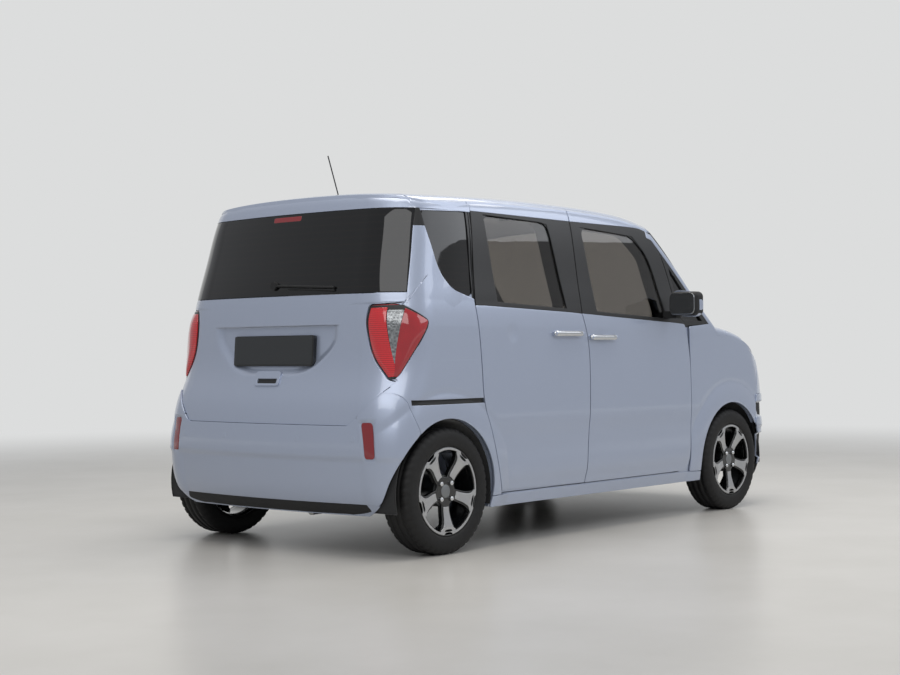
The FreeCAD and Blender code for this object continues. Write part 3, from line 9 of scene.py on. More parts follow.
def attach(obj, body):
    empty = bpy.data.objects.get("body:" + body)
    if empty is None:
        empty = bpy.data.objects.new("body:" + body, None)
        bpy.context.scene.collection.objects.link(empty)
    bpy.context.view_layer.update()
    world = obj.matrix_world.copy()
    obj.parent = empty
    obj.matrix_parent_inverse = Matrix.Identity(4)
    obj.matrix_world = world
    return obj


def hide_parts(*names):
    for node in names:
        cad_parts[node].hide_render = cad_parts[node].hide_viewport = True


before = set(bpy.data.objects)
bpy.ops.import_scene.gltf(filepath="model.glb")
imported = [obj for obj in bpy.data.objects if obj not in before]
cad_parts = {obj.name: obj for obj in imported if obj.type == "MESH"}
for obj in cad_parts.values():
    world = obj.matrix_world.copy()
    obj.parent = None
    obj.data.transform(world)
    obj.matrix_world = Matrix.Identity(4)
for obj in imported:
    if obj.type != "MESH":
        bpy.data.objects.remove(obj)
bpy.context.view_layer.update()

# Camera: the picture is taken from behind the right rear corner, a little below eye level, with a
# long lens. The body's own frame is used, so the place is in metres from the middle of the car.
CAMERA_PLACE = Vector((-6.6835, -5.347, 0.918))
CAMERA_TURN, CAMERA_PITCH, CAMERA_ROLL = 0.707, 0.010, -0.009
ahead = Vector((math.cos(CAMERA_PITCH) * math.cos(CAMERA_TURN),
                math.cos(CAMERA_PITCH) * math.sin(CAMERA_TURN), math.sin(CAMERA_PITCH)))
level_right = ahead.cross(Vector((0, 0, 1))).normalized()
level_up = level_right.cross(ahead)
camera_right = math.cos(CAMERA_ROLL) * level_right + math.sin(CAMERA_ROLL) * level_up
camera_up = math.cos(CAMERA_ROLL) * level_up - math.sin(CAMERA_ROLL) * level_right
SENSOR_MM, LENS_MM = 36.0, 61.53
camera_data = bpy.data.cameras.new("camera")
camera_data.sensor_width, camera_data.lens = SENSOR_MM, LENS_MM
camera = bpy.data.objects.new("camera", camera_data)
camera_axes = Matrix((camera_right, camera_up, -ahead)).transposed()
camera.matrix_world = Matrix.Translation(CAMERA_PLACE) @ camera_axes.to_4x4()
bpy.context.collection.objects.link(camera)
bpy.context.scene.camera = camera
bpy.context.scene.view_settings.view_transform = "Standard"


# Studio: a smooth pale floor that curves up into a pale wall, all one sheet of painted board, so
# that no edge shows in the car's paint. It is far larger than the car.
def linear(code):
    """An sRGB hex colour as linear RGBA: each channel, from 0 to 1, goes through the sRGB curve."""
    channels = [int(code[i:i + 2], 16) / 255 for i in (0, 2, 4)]
    return [c / 12.92 if c <= 0.04045 else ((c + 0.055) / 1.055) ** 2.4 for c in channels] + [1.0]


def add(tree, kind, settings=None, links=None):
    """Adds one node. settings: values by property or socket; links: input socket to an output."""
    made = tree.nodes.new(kind)
    for name, value in (settings or {}).items():
        if isinstance(name, str) and hasattr(made, name):
            setattr(made, name, value)
        else:
            made.inputs[name].default_value = value
    for name, output in (links or {}).items():
        tree.links.new(output, made.inputs[name])
    return made


def reckoned(tree, operation, *values):
    """One sum over values, each a number or another node's output."""
    links = {k: value for k, value in enumerate(values) if not isinstance(value, float)}
    numbers = {k: value for k, value in enumerate(values) if k not in links}
    return add(tree, "ShaderNodeMath", {"operation": operation, **numbers}, links).outputs[0]


def texture(tree, kind, settings):
    """Adds a texture that lies on the object's own coordinates, in metres."""
    place = add(tree, "ShaderNodeTexCoord")
    return add(tree, "ShaderNodeTex" + kind, settings, {"Vector": place.outputs["Object"]})


def finish(name, colour, roughness, **sockets):
    """A material with one Principled shader. Further sockets are named with _ for a space."""
    material = bpy.data.materials.new(name)
    material.use_nodes = True
    shader = material.node_tree.nodes["Principled BSDF"]
    shader.inputs["Base Color"].default_value = linear(colour)
    shader.inputs["Roughness"].default_value = roughness
    for socket, value in sockets.items():
        value = linear(value) if isinstance(value, str) else value
        shader.inputs[socket.replace("_", " ")].default_value = value
    return material, material.node_tree, shader


def raw_mesh(name, points, faces, material):
    """One object at the origin from points (N, 3) and faces, smooth, with its material."""
    mesh = bpy.data.meshes.new(name)
    mesh.from_pydata(np.asarray(points, dtype=float).reshape(-1, 3).tolist(), [],
                     np.asarray(faces).tolist())
    mesh.polygons.foreach_set("use_smooth", np.ones(len(mesh.polygons), dtype=bool))
    mesh.materials.append(material)
    piece = bpy.data.objects.new(name, mesh)
    bpy.context.collection.objects.link(piece)
    return piece


def quads(rows, columns, closed=False):
    """The faces of a grid of points, row by row; closed joins its last column to its first."""
    last = columns if closed else columns - 1
    row, column = np.meshgrid(np.arange(rows - 1), np.arange(last), indexing="ij")
    after = (column + 1) % columns
    corners = [row * columns + column, row * columns + after, (row + 1) * columns + after,
               (row + 1) * columns + column]
    return np.stack(corners, axis=-1).reshape(-1, 4)


# The board looks calm: faint cloudy patches and a soft gloss. Seen or mirrored from far off it glows
# evenly, so that no dark edge shows in the paint.
board, board_tree, board_shader = finish("painted studio board", "c9c7c2", 0.30, Specular_IOR_Level=0.35)
mottle = texture(board_tree, "Noise", {"Scale": 1.3, "Detail": 5.0, "Roughness": 0.6})
tone = add(board_tree, "ShaderNodeValToRGB", {}, {"Fac": mottle.outputs["Fac"]})
tone.color_ramp.elements[0].color, tone.color_ramp.elements[0].position = linear("c1bfba"), 0.3
tone.color_ramp.elements[1].color, tone.color_ramp.elements[1].position = linear("cbc9c5"), 0.7
board_tree.links.new(tone.outputs["Color"], board_shader.inputs["Base Color"])
seen = add(board_tree, "ShaderNodeLightPath")
seen_or_gloss = reckoned(board_tree, "MAXIMUM", seen.outputs["Is Camera Ray"],
                         seen.outputs["Is Glossy Ray"])
seen_at_all = reckoned(board_tree, "MAXIMUM", seen_or_gloss, seen.outputs["Is Transmission Ray"])
place = add(board_tree, "ShaderNodeTexCoord")
distance = add(board_tree, "ShaderNodeVectorMath", {"operation": "LENGTH"}, {0: place.outputs["Object"]})
GLOW_FROM, GLOW_FULL = 4.5, 11.5
far_off = add(board_tree, "ShaderNodeMapRange",
              {"interpolation_type": "SMOOTHSTEP", "From Min": GLOW_FROM, "From Max": GLOW_FULL},
              {"Value": distance.outputs["Value"]})
glow_share = reckoned(board_tree, "MULTIPLY", seen_at_all, far_off.outputs[0])
glow = add(board_tree, "ShaderNodeEmission", {"Color": linear("dcdddd"), "Strength": 1.0})
lit_or_glow = add(board_tree, "ShaderNodeMixShader", {},
                  {0: glow_share, 1: board_shader.outputs[0], 2: glow.outputs[0]})
board_tree.links.new(lit_or_glow.outputs[0], board_tree.nodes["Material Output"].inputs["Surface"])
FLOOR_HALF, WALL_FROM, WALL_ROUND, WALL_HIGH = 18.0, 12.0, 3.0, 9.0
along_sweep = np.linspace(0, 1, 60)
FLAT_SHARE, CURVE_SHARE = 0.5, 0.25
arc = np.clip((along_sweep - FLAT_SHARE) / CURVE_SHARE, 0, 1) * math.pi / 2
flat_x = -FLOOR_HALF + (FLOOR_HALF + WALL_FROM) * along_sweep / FLAT_SHARE
sweep_x = np.where(along_sweep < FLAT_SHARE, flat_x, WALL_FROM + WALL_ROUND * np.sin(arc))
up_share = (along_sweep - FLAT_SHARE - CURVE_SHARE) / (1 - FLAT_SHARE - CURVE_SHARE)
sweep_z = np.where(up_share < 0, WALL_ROUND * (1 - np.cos(arc)), WALL_ROUND + WALL_HIGH * up_share)
sweep_y = np.array([-FLOOR_HALF, FLOOR_HALF])
grid_x, grid_y = np.meshgrid(sweep_x, sweep_y, indexing="ij")
grid_z = np.repeat(sweep_z[:, None], 2, axis=1)
sweep = np.stack([grid_x * math.cos(CAMERA_TURN) - grid_y * math.sin(CAMERA_TURN),
                  grid_x * math.sin(CAMERA_TURN) + grid_y * math.cos(CAMERA_TURN), grid_z], axis=-1)
floor = raw_mesh("studio_floor", sweep, quads(60, 2)[:, ::-1], board)

world = bpy.data.worlds.new("studio")
world.use_nodes = True
bpy.context.scene.world = world
world.node_tree.nodes["Background"].inputs["Color"].default_value = linear("e4e6ea")
world.node_tree.nodes["Background"].inputs["Strength"].default_value = 0.55


def soft_box(name, place, target, width, height, watts, colour="ffffff"):
    """A wide flat lamp at a place, turned to a target."""
    light = bpy.data.lights.new(name, "AREA")
    light.shape, light.size, light.size_y, light.energy = "RECTANGLE", width, height, watts
    light.color = linear(colour)[:3]
    lamp = bpy.data.objects.new(name, light)
    lamp.location = place
    lamp.rotation_euler = (Vector(target) - Vector(place)).to_track_quat("-Z", "Y").to_euler()
    bpy.context.collection.objects.link(lamp)


soft_box("ceiling", (0.0, -0.5, 5.2), (0, 0, 0), 7.0, 3.2, 210, "fffaf2")
soft_box("rear_right", (-5.2, -4.2, 4.6), (-0.8, -0.4, 0.8), 6.4, 2.6, 110)
soft_box("front_right", (3.4, -5.2, 4.4), (0.4, -0.5, 0.8), 6.0, 2.6, 85, "f4f8ff")

# Body shape: the pressed-steel shell. Its walls are plan outlines at fifteen heights, its top is the
# side profile of roof, windscreen and bonnet, and a rolled edge joins them. All sheets lie on it.
REAR_AXLE, BASE, HEIGHT, HALF = -1.3675, 2.520, 1.700, 0.7975
FRONT_AXLE = REAR_AXLE + BASE
REAR_OVERHANG, FRONT_OVERHANG = 0.430, 0.645
MIDDLE = (REAR_AXLE + FRONT_AXLE) / 2
SIDE_BOW, REAR_BOW, FRONT_BOW = 0.009, 0.070, 0.150
LEVEL_SHARES = np.array([
    (0.112, 0.945, 0.84, 0.20, 0.90, 0.36), (0.153, 0.965, 0.93, 0.19, 0.955, 0.38),
    (0.206, 0.978, 0.975, 0.19, 0.988, 0.40), (0.294, 0.985, 1.000, 0.205, 1.000, 0.40),
    (0.353, 0.986, 0.988, 0.23, 0.995, 0.40), (0.412, 0.985, 0.950, 0.26, 0.978, 0.40),
    (0.471, 0.982, 0.865, 0.28, 0.945, 0.40), (0.529, 0.978, 0.812, 0.29, 0.890, 0.40),
    (0.618, 0.972, 0.800, 0.30, 0.790, 0.40), (0.676, 0.962, 0.785, 0.31, 0.690, 0.40),
    (0.735, 0.942, 0.745, 0.31, 0.640, 0.40), (0.824, 0.915, 0.655, 0.30, 0.520, 0.40),
    (0.900, 0.890, 0.575, 0.28, 0.400, 0.40), (0.965, 0.858, 0.500, 0.27, 0.300, 0.40),
    (1.050, 0.795, 0.420, 0.27, 0.200, 0.40)])
LEVELS = LEVEL_SHARES * [HEIGHT, HALF, REAR_OVERHANG, HALF, FRONT_OVERHANG, HALF]
LEVELS[:, 2] += MIDDLE - REAR_AXLE
LEVELS[:, 4] += FRONT_AXLE - MIDDLE
ROOF_SHARES = np.array([(-0.200, 0.9430), (-0.095, 0.9735), (0.050, 0.9905), (0.250, 0.9990),
                        (0.420, 1.0000), (0.580, 0.9940), (0.670, 0.9825), (0.733, 0.9660)])
SCREEN_SHARES = np.array([(0.733, 0.9660), (0.836, 0.8565), (0.9355, 0.7350), (1.015, 0.6375)])
BONNET_SHARES = np.array([(1.015, 0.6375), (1.060, 0.6280), (1.120, 0.6080), (1.170, 0.5780),
                          (1.210, 0.5300), (1.240, 0.4600)])
SIDE_FALL_SHARES = np.array([(-1.06, 0.1500, 0.0380, 0.090), (-0.92, 0.0650, 0.0200, 0.062),
                             (-0.84, 0.0300, 0.0150, 0.045), (-0.76, 0.0170, 0.0110, 0.032),
                             (-0.62, 0.0085, 0.0060, 0.018), (-0.38, 0.0025, 0.0020, 0.006),
                             (0.0, 0.0, 0.0, 0.0), (0.38, 0.0025, 0.0020, 0.006),
                             (0.62, 0.0085, 0.0060, 0.018), (0.76, 0.0170, 0.0110, 0.032),
                             (0.84, 0.0300, 0.0150, 0.045), (0.92, 0.0650, 0.0200, 0.062),
                             (1.06, 0.1500, 0.0380, 0.090)])
SCREEN_TOP, SCREEN_FOOT = ROOF_SHARES[-1, 0], BONNET_SHARES[0, 0]


def smooth(knots, values, at):
    """A natural cubic spline: cubics through values at knots, whose slopes and bends run on."""
    values = np.asarray(values, dtype=float).reshape(len(knots), -1)
    step = np.diff(knots)
    matrix = np.zeros((len(knots), len(knots)))
    matrix[0, 0] = matrix[-1, -1] = 1
    inner = np.arange(1, len(knots) - 1)
    matrix[inner, inner - 1], matrix[inner, inner + 1] = step[:-1], step[1:]
    matrix[inner, inner] = 2 * (step[:-1] + step[1:])
    slope = np.diff(values, axis=0) / step[:, None]
    bend = np.zeros_like(values)
    bend[1:-1] = 6 * np.diff(slope, axis=0)
    bend = np.linalg.solve(matrix, bend)
    at = np.asarray(at, dtype=float)
    k = np.clip(np.searchsorted(knots, at) - 1, 0, len(knots) - 2)
    s = np.clip(at, knots[0], knots[-1]) - knots[k]
    width = step[k][..., None]
    s = s[..., None]
    rise = (values[k + 1] - values[k]) / width - width * (2 * bend[k] + bend[k + 1]) / 6
    return values[k] + s * (rise + s * (bend[k] / 2 + s * (bend[k + 1] - bend[k]) / (6 * width)))


def wall(turn, high):
    """A point of the body's wall on the left side, in plan.

    turn runs from 0 at the middle of the tail, 1 to 2 round the rear corner, 3 amidships, 4 to 5
    round the front corner and 6 at the nose. Each end is a parabola across the car, each corner a
    part of an ellipse and each side a line that bows out by a shallow parabola.
    """
    row = smooth(LEVELS[:, 0], LEVELS[:, 1:], high)
    front = turn > 3
    t = np.where(front, 6 - turn, turn)
    half = row[..., 0]
    end, corner = np.where(front, row[..., 3], row[..., 1]), np.where(front, row[..., 4], row[..., 2])
    bow = np.where(front, FRONT_BOW, REAR_BOW)
    start = half - corner
    lean = np.arctan(2 * bow * start / half ** 2)
    centre_x = end - bow * (start / half) ** 2 - corner * np.cos(lean)
    centre_y = start - corner * np.sin(lean)
    angle = lean + (math.pi / 2 - lean) * np.clip(t - 1, 0, 1)
    k = np.clip(t, 0, 1)
    x = np.where(t < 1, end - bow * (start * k / half) ** 2, centre_x + corner * np.cos(angle))
    x = np.where(t > 2, centre_x * (3 - t), x)
    y = np.where(t < 1, start * k, centre_y + (half - centre_y) * np.sin(angle))
    return MIDDLE + np.where(front, 1, -1) * x, y * (1 - SIDE_BOW / half * (x / end) ** 2)


def top(x, y):
    """The height of roof, windscreen and bonnet: the side profile, which falls away to the sides."""
    fall = smooth(SIDE_FALL_SHARES[:, 0], SIDE_FALL_SHARES[:, 1:], np.clip(y / HALF, -1.06, 1.06))
    place = (x - REAR_AXLE) / BASE
    share = place
    for step in range(12):
        low = np.clip((share - SCREEN_TOP) / (SCREEN_FOOT - SCREEN_TOP), 0, 1)
        ahead_of = np.clip((share - ROOF_SHARES[4, 0]) / (SCREEN_TOP - ROOF_SHARES[4, 0]), 0, 1)
        back = fall[..., 2] * (0.25 * ahead_of + 0.75 * low)
        back = np.where(share < 0, fall[..., 2] * share * 2.5, back)
        share = 0.5 * share + 0.5 * (place + back)
    drop = fall[..., 0] + (fall[..., 1] - fall[..., 0]) * low
    roof = smooth(ROOF_SHARES[:, 0], ROOF_SHARES[:, 1], share)[..., 0]
    screen = smooth(SCREEN_SHARES[:, 0], SCREEN_SHARES[:, 1], share)[..., 0]
    bonnet = smooth(BONNET_SHARES[:, 0], BONNET_SHARES[:, 1], share)[..., 0]
    high = np.where(share < SCREEN_TOP, roof, np.where(share < SCREEN_FOOT, screen, bonnet))
    return (high - drop) * HEIGHT


def search(low, high, rises, steps=34):
    """Halves a span again and again to find where a rising function passes zero."""
    low, high = np.array(low, dtype=float), np.array(high, dtype=float)
    for step in range(steps):
        middle = (low + high) / 2
        above = rises(middle) > 0
        high, low = np.where(above, middle, high), np.where(above, low, middle)
    return (low + high) / 2


# The rim, where walls and top meet, for every turn: its corner, and the rolled edge's two ends.
TURNS = np.linspace(0, 6, 1501)
EDGE_ROUND = np.interp(TURNS, [0, 3.1, 3.9, 6], [0.042, 0.034, 0.024, 0.02])
rim_high = search(np.full_like(TURNS, 0.45), np.full_like(TURNS, 1.78), lambda z: z - top(*wall(TURNS, z)))
rim_x, rim_y = wall(TURNS, rim_high)
before_x, before_y = wall(np.clip(TURNS - 0.01, 0, 6), rim_high)
after_x, after_y = wall(np.clip(TURNS + 0.01, 0, 6), rim_high)
inward = np.stack([after_y - before_y, before_x - after_x], axis=-1)
inward /= np.linalg.norm(inward, axis=-1, keepdims=True)
wall_end = rim_high - EDGE_ROUND
wall_end_x, wall_end_y = wall(TURNS, wall_end)
top_end = np.stack([rim_x, rim_y], axis=-1) + inward * EDGE_ROUND[:, None]
top_end_high = top(top_end[:, 0], top_end[:, 1])
edge_run = np.hypot(np.hypot(top_end[:, 0] - wall_end_x, top_end[:, 1] - wall_end_y),
                    top_end_high - wall_end)
RIM = np.stack([wall_end, edge_run, rim_x, rim_y, rim_high, top_end[:, 0], top_end[:, 1], top_end_high,
                inward[:, 0], inward[:, 1]], axis=-1)
girth_x, girth_y = wall(TURNS, np.full_like(TURNS, 0.62))
GIRTHS = np.concatenate([[0], np.cumsum(np.hypot(np.diff(girth_x), np.diff(girth_y)))])


def on_body(girth, high):
    """A point of the left half of the body's surface.

    girth is the distance round the car from the middle of the tail. high is the height on the wall,
    and past the wall's end it runs on as a distance: over the rolled edge, which is a curve with the
    rim as its control point, and then inwards over the top.
    """
    turn = np.interp(girth, GIRTHS, TURNS)
    rim = np.stack([np.interp(turn, TURNS, RIM[:, k]) for k in range(RIM.shape[1])], axis=-1)
    end, run = rim[..., 0], rim[..., 1]
    wall_x, wall_y = wall(turn, np.minimum(high, end))
    low = np.stack([wall_x, wall_y, np.minimum(high, end)], axis=-1)
    s = np.clip((high - end) / run, 0, 1)[..., None]
    edge = (1 - s) ** 2 * low + 2 * s * (1 - s) * rim[..., 2:5] + s ** 2 * rim[..., 5:8]
    past = np.maximum(high - end - run, 0)
    deep_x, deep_y = rim[..., 5] + past * rim[..., 8], rim[..., 6] + past * rim[..., 9]
    deep = np.stack([deep_x, deep_y, np.where(past > 0, top(deep_x, deep_y), rim[..., 7])], axis=-1)
    return np.where((past > 0)[..., None], deep, edge)


def girth_at(axis, value, high):
    """The girth at which the body has a given x (axis 0) or, behind the rear corner, y (axis 1)."""
    value, high = np.asarray(value, dtype=float), np.asarray(high, dtype=float)
    last = GIRTHS[-1] if axis == 0 else np.interp(2.4, TURNS, GIRTHS)
    return search(np.zeros_like(value), np.full_like(value, last),
                  lambda g: on_body(g, high)[..., axis] - value)


ARCH_RADIUS, FLARE_REACH, FLARE_STAND, FLARE_ALONE = 0.332, 0.130, 0.0125 + 0.003, 0.6
SIDE_FROM, FOLD_STAND, FOLD_FROM, FOLD_TO, FOLD_RUN = 0.60, 0.0055, 0.50, 1.16, 0.12
RIDGE_STAND, RIDGE_HIGH, RIDGE_OVER, RIDGE_UNDER = 0.005, 0.335, 0.13, 0.06
SCOOP_RADIUS, SCOOP_DEEP = 0.050, 0.0036
SCOOPS = [(-1, -0.458, 1.010), (-1, -0.152, 0.991), (1, -0.152, 0.991), (1, -0.876, 1.010)]
HUB_HIGH = 0.288


def softened(share):
    """A share from 0 to 1, made to start and end softly."""
    return share ** 2 * (3 - 2 * share)


def relief(points):
    """How far the pressing stands out: round swells over the wheels, and soft folds along the doors.

    The doors stand out between a fold above the sill and one under the windows, and by a ridge at
    their foot. A round hollow behind each handle is taken off. Near a wheel the swell of its arch
    takes over: a parabola from the arch's lip outwards. Towards the middle of the car all of it fades.
    """
    x, z = points[..., 0], points[..., 2]
    beside = np.clip((np.abs(points[..., 1]) - SIDE_FROM) / FOLD_RUN, 0, 1)
    stand = FOLD_STAND * softened(np.clip((z - FOLD_FROM) / FOLD_RUN, 0, 1))
    stand = stand * np.clip((FOLD_TO - z) / FOLD_RUN, 0, 1)
    foot = np.clip(1 - np.abs(z - RIDGE_HIGH) / np.where(z > RIDGE_HIGH, RIDGE_OVER, RIDGE_UNDER), 0, 1)
    stand = stand + RIDGE_STAND * softened(foot)
    for hand, x_middle, high in SCOOPS:
        hollow = np.clip(1 - np.hypot(x - x_middle, z - high) ** 2 / SCOOP_RADIUS ** 2, 0, 1) ** 1.5
        stand = stand - SCOOP_DEEP * hollow * (np.sign(points[..., 1]) == hand)
    for axle in (REAR_AXLE, FRONT_AXLE):
        reach = (np.hypot(x - axle, z - HUB_HIGH) - ARCH_RADIUS) / FLARE_REACH
        swell = FLARE_STAND * np.clip(1 - reach ** 2, 0, 1)
        away = np.clip(reach - FLARE_ALONE, 0, 1)
        stand = np.maximum(stand * np.clip(away * 2, 0, 1), swell)
    return stand * beside


LIFT = 0.004
SLOPE_STEP, CORE_HIGH = 0.002, 0.7


def on_skin(girth, high, hand, lift=LIFT):
    """Points and outward directions of a sheet that lies a lift above the body on one side of the car.

    The direction is square to the body's slopes along the girth and up the wall, and looks away from
    a point inside the car, at CORE_HIGH.
    """
    place = on_body(girth, high)
    along_girth = on_body(girth + SLOPE_STEP, high) - on_body(np.maximum(girth - SLOPE_STEP, 0), high)
    up_wall = on_body(girth, high + SLOPE_STEP) - on_body(girth, high - SLOPE_STEP)
    out = np.cross(along_girth, up_wall)
    out /= np.linalg.norm(out, axis=-1, keepdims=True) + 1e-12
    from_core = np.stack([place[..., 0] - MIDDLE, place[..., 1], place[..., 2] - CORE_HIGH], axis=-1)
    out *= np.where(np.sum(out * from_core, axis=-1) < 0, -1, 1)[..., None]
    place = place + out * (lift + relief(place))[..., None]
    mirror = np.array([1, hand, 1])
    return place * mirror, out * mirror


def rounded(corners, count):
    """count points spread evenly along straight runs whose corners are rounded by curves.

    Each corner: a, b and how far its curve reaches along each run.
    """
    corners = [tuple(c) + (0,) * (3 - len(c)) for c in corners]
    spots = []
    for i, (a, b, reach) in enumerate(corners):
        here = np.array([a, b], dtype=float)
        if i in (0, len(corners) - 1) or reach <= 0:
            spots.append(here[None])
            continue
        arms = []
        for other in (corners[i - 1], corners[i + 1]):
            arm = np.array(other[:2]) - here
            run = np.hypot(*arm)
            arms.append(here + arm / run * min(reach, 0.48 * run))
        s = np.linspace(0, 1, 13)[:, None]
        spots.append((1 - s) ** 2 * arms[0] + 2 * s * (1 - s) * here + s ** 2 * arms[1])
    return even(np.concatenate(spots), count)


def even(line, count):
    """count points spread evenly by length along a chain of points."""
    line = np.asarray(line, dtype=float)
    runs = np.concatenate([[0], np.cumsum(np.linalg.norm(np.diff(line, axis=0), axis=-1))])
    at = np.linspace(0, runs[-1], count)
    return np.stack([np.interp(at, runs, line[:, k]) for k in range(line.shape[1])], axis=-1)


def placed(across, high, axis=0):
    """Places seen from the side (axis 0: x) or from behind (axis 1: y), as girths and heights."""
    return np.stack([girth_at(axis, across, high), high], axis=-1)


def side_line(corners, count=60):
    """A rounded line drawn in the side view (x, height), as girths and heights."""
    line = rounded(corners, count)
    return placed(line[:, 0], line[:, 1])


def tail_line(corners, count=60):
    """A rounded line drawn in the view from behind (y, height), as girths and heights."""
    line = rounded(corners, count)
    return placed(line[:, 0], line[:, 1], 1)


def patch(bottom, top_side, left, right, rows, columns):
    """A grid between four lines: the two straight blends across it, less the blend of its corners."""
    bottom, top_side = even(bottom, columns), even(top_side, columns)
    left, right = even(left, rows), even(right, rows)
    u, v = np.linspace(0, 1, columns)[None, :, None], np.linspace(0, 1, rows)[:, None, None]
    corners = ((1 - v) * ((1 - u) * bottom[0] + u * bottom[-1]) + v
               * ((1 - u) * top_side[0] + u * top_side[-1]))
    across = (1 - v) * bottom[None] + v * top_side[None]
    return across + (1 - u) * left[:, None] + u * right[:, None] - corners


def ring_between(outer, inner, counts, rows):
    """A closed grid between two outlines, each a list of as many lines, matched one to one."""
    outside = np.concatenate([even(line, count + 1)[:-1] for line, count in zip(outer, counts)])
    inside = np.concatenate([even(line, count + 1)[:-1] for line, count in zip(inner, counts)])
    v = np.linspace(0, 1, rows)[:, None, None]
    return (1 - v) * outside[None] + v * inside[None]


THIN_HEM = np.array([1.0, 0.45])
HEM = np.array([(0.0006, 0.0001), (0.0012, 0.0005), (0.0016, 0.0014), (0.0017, 0.0030), (0.0017, 0.0085)])


def hem(edge, out, away, hem_shape=HEM):
    """Rings of points that roll a sheet's edge over and down: away from the sheet, then inwards."""
    along_edge = np.roll(edge, -1, axis=0) - np.roll(edge, 1, axis=0)
    beyond = np.cross(along_edge, out)
    beyond /= np.linalg.norm(beyond, axis=-1, keepdims=True) + 1e-12
    beyond *= np.sign(np.sum(beyond * away, axis=-1, keepdims=True))
    return edge[None] + hem_shape[:, 0, None, None] * beyond[None] - hem_shape[:, 1, None, None] * out[None]


DRAW_SHARES = (1.0, 0.66, 0.33)
SHUT = 0.0019


def drawn_in(points, closed, gap, flush):
    """The grid with its outer rings moved inwards, square to each edge, by a gap that fades over three rings.

    flush names the edges that stay where they are, as axis and way: (0, 1) is the first row.
    """
    points = points.copy()
    for axis in ((0,) if closed else (0, 1)):
        turned = np.moveaxis(points, axis, 0)
        for way in (1, -1):
            if (axis, way) in flush:
                continue
            view = turned[::way]
            inwards = view[1] - view[0]
            edge_run = np.gradient(view[0], axis=0)
            edge_run /= np.linalg.norm(edge_run, axis=-1, keepdims=True) + 1e-12
            inwards = inwards - np.sum(inwards * edge_run, axis=-1, keepdims=True) * edge_run
            inwards = inwards / (np.linalg.norm(inwards, axis=-1, keepdims=True) + 1e-12)
            for ring, share in enumerate(DRAW_SHARES):
                view[ring] = view[ring] + gap * share * inwards
    return points


def pressed(name, grid, hand, material, body, closed=False, lift=LIFT, shape=None, hem_shape=HEM,
            gap=SHUT, flush=(), hole=None):
    """A pressed sheet with rolled edges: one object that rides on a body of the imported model.

    grid: girths and heights of points a lift above the car's skin, or shape: points and outs.
    closed: the grid runs round, and its last column joins its first. gap and flush: see drawn_in.
    hole: the middle and radius of a circle that is taken out in the side view.
    """
    points, out = on_skin(grid[..., 0], grid[..., 1], hand, lift) if shape is None else shape
    points = drawn_in(points, closed, gap, flush)
    rows, columns = points.shape[:2]
    parts, faces = [points.reshape(-1, 3)], [quads(rows, columns, closed)]
    index = np.arange(rows * columns).reshape(rows, columns)
    if closed:
        loops = [(ring, next_in) for ring, next_in in ((index[0], index[1]), (index[-1], index[-2]))
                 if np.ptp(points.reshape(-1, 3)[ring], axis=0).max() > 1e-6]
    else:
        around = np.concatenate([index[0, :-1], index[:-1, -1], index[-1, :0:-1], index[:0:-1, 0]])
        inner = np.clip(np.stack(np.unravel_index(around, (rows, columns))), 1, [[rows - 2], [columns - 2]])
        loops = [(around, index[inner[0], inner[1]])]
    flat, flat_out = points.reshape(-1, 3), out.reshape(-1, 3)
    count = rows * columns
    for loop, next_in in loops:
        rings = hem(flat[loop], flat_out[loop], flat[loop] - flat[next_in], hem_shape)
        added = rings.shape[0] * len(loop)
        numbers = np.concatenate([loop[None], count + np.arange(added).reshape(rings.shape[0], -1)])
        band = quads(len(numbers), len(loop), True)
        faces.append(numbers.reshape(-1)[band])
        parts.append(rings.reshape(-1, 3))
        count += added
    all_points, all_faces = np.concatenate(parts), np.concatenate(faces)
    if hole is not None:
        all_points, all_faces = pierced(all_points, all_faces, *hole)
    piece = raw_mesh(name, all_points, all_faces, material)
    face_out(piece, flat[len(flat) // 2 + columns // 2], flat_out[len(flat) // 2 + columns // 2])
    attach(piece, body)
    return piece


def pierced(points, faces, middle, radius):
    """Takes a circle of the side view out of a sheet, and draws the edge that is left onto the circle."""
    far = np.linalg.norm(points[:, [0, 2]] - middle, axis=-1)
    kept = (far[faces] > radius).all(axis=1)
    edge = np.intersect1d(faces[kept], faces[~kept])
    share = (radius / far[edge])[:, None]
    points[edge[:, None], [0, 2]] = middle + (points[edge][:, [0, 2]] - middle) * share
    used, numbers = np.unique(faces[kept], return_inverse=True)
    return points[used], numbers.reshape(-1, 4)


def consistent(mesh):
    """Makes neighbouring faces of a sheet look the same way."""
    work = bmesh.new()
    work.from_mesh(mesh)
    bmesh.ops.remove_doubles(work, verts=work.verts, dist=1e-6)
    bmesh.ops.recalc_face_normals(work, faces=work.faces)
    work.to_mesh(mesh)
    work.free()


def face_out(piece, place, out):
    """Turns all faces of a sheet when the one nearest a place looks against its outward direction."""
    mesh = piece.data
    consistent(mesh)
    mesh.update()
    normals, centres = np.empty(len(mesh.polygons) * 3), np.empty(len(mesh.polygons) * 3)
    mesh.polygons.foreach_get("normal", normals)
    mesh.polygons.foreach_get("center", centres)
    nearest = np.argmin(np.linalg.norm(centres.reshape(-1, 3) - place, axis=-1))
    if np.dot(normals.reshape(-1, 3)[nearest], out) < 0:
        mesh.flip_normals()


# Paint: pale ice-blue metallic base coat with fine aluminium flakes under a clear lacquer. The
# flakes give a soft sparkle and make the colour darken where the panel turns away.
def toned(tree, shader, share, first, second):
    """Mixes the surface's colour from two hex colours, by a texture's output."""
    tone = add(tree, "ShaderNodeMix", {"data_type": "RGBA", 6: linear(first), 7: linear(second)},
               {0: share})
    tree.links.new(tone.outputs[2], shader.inputs["Base Color"])


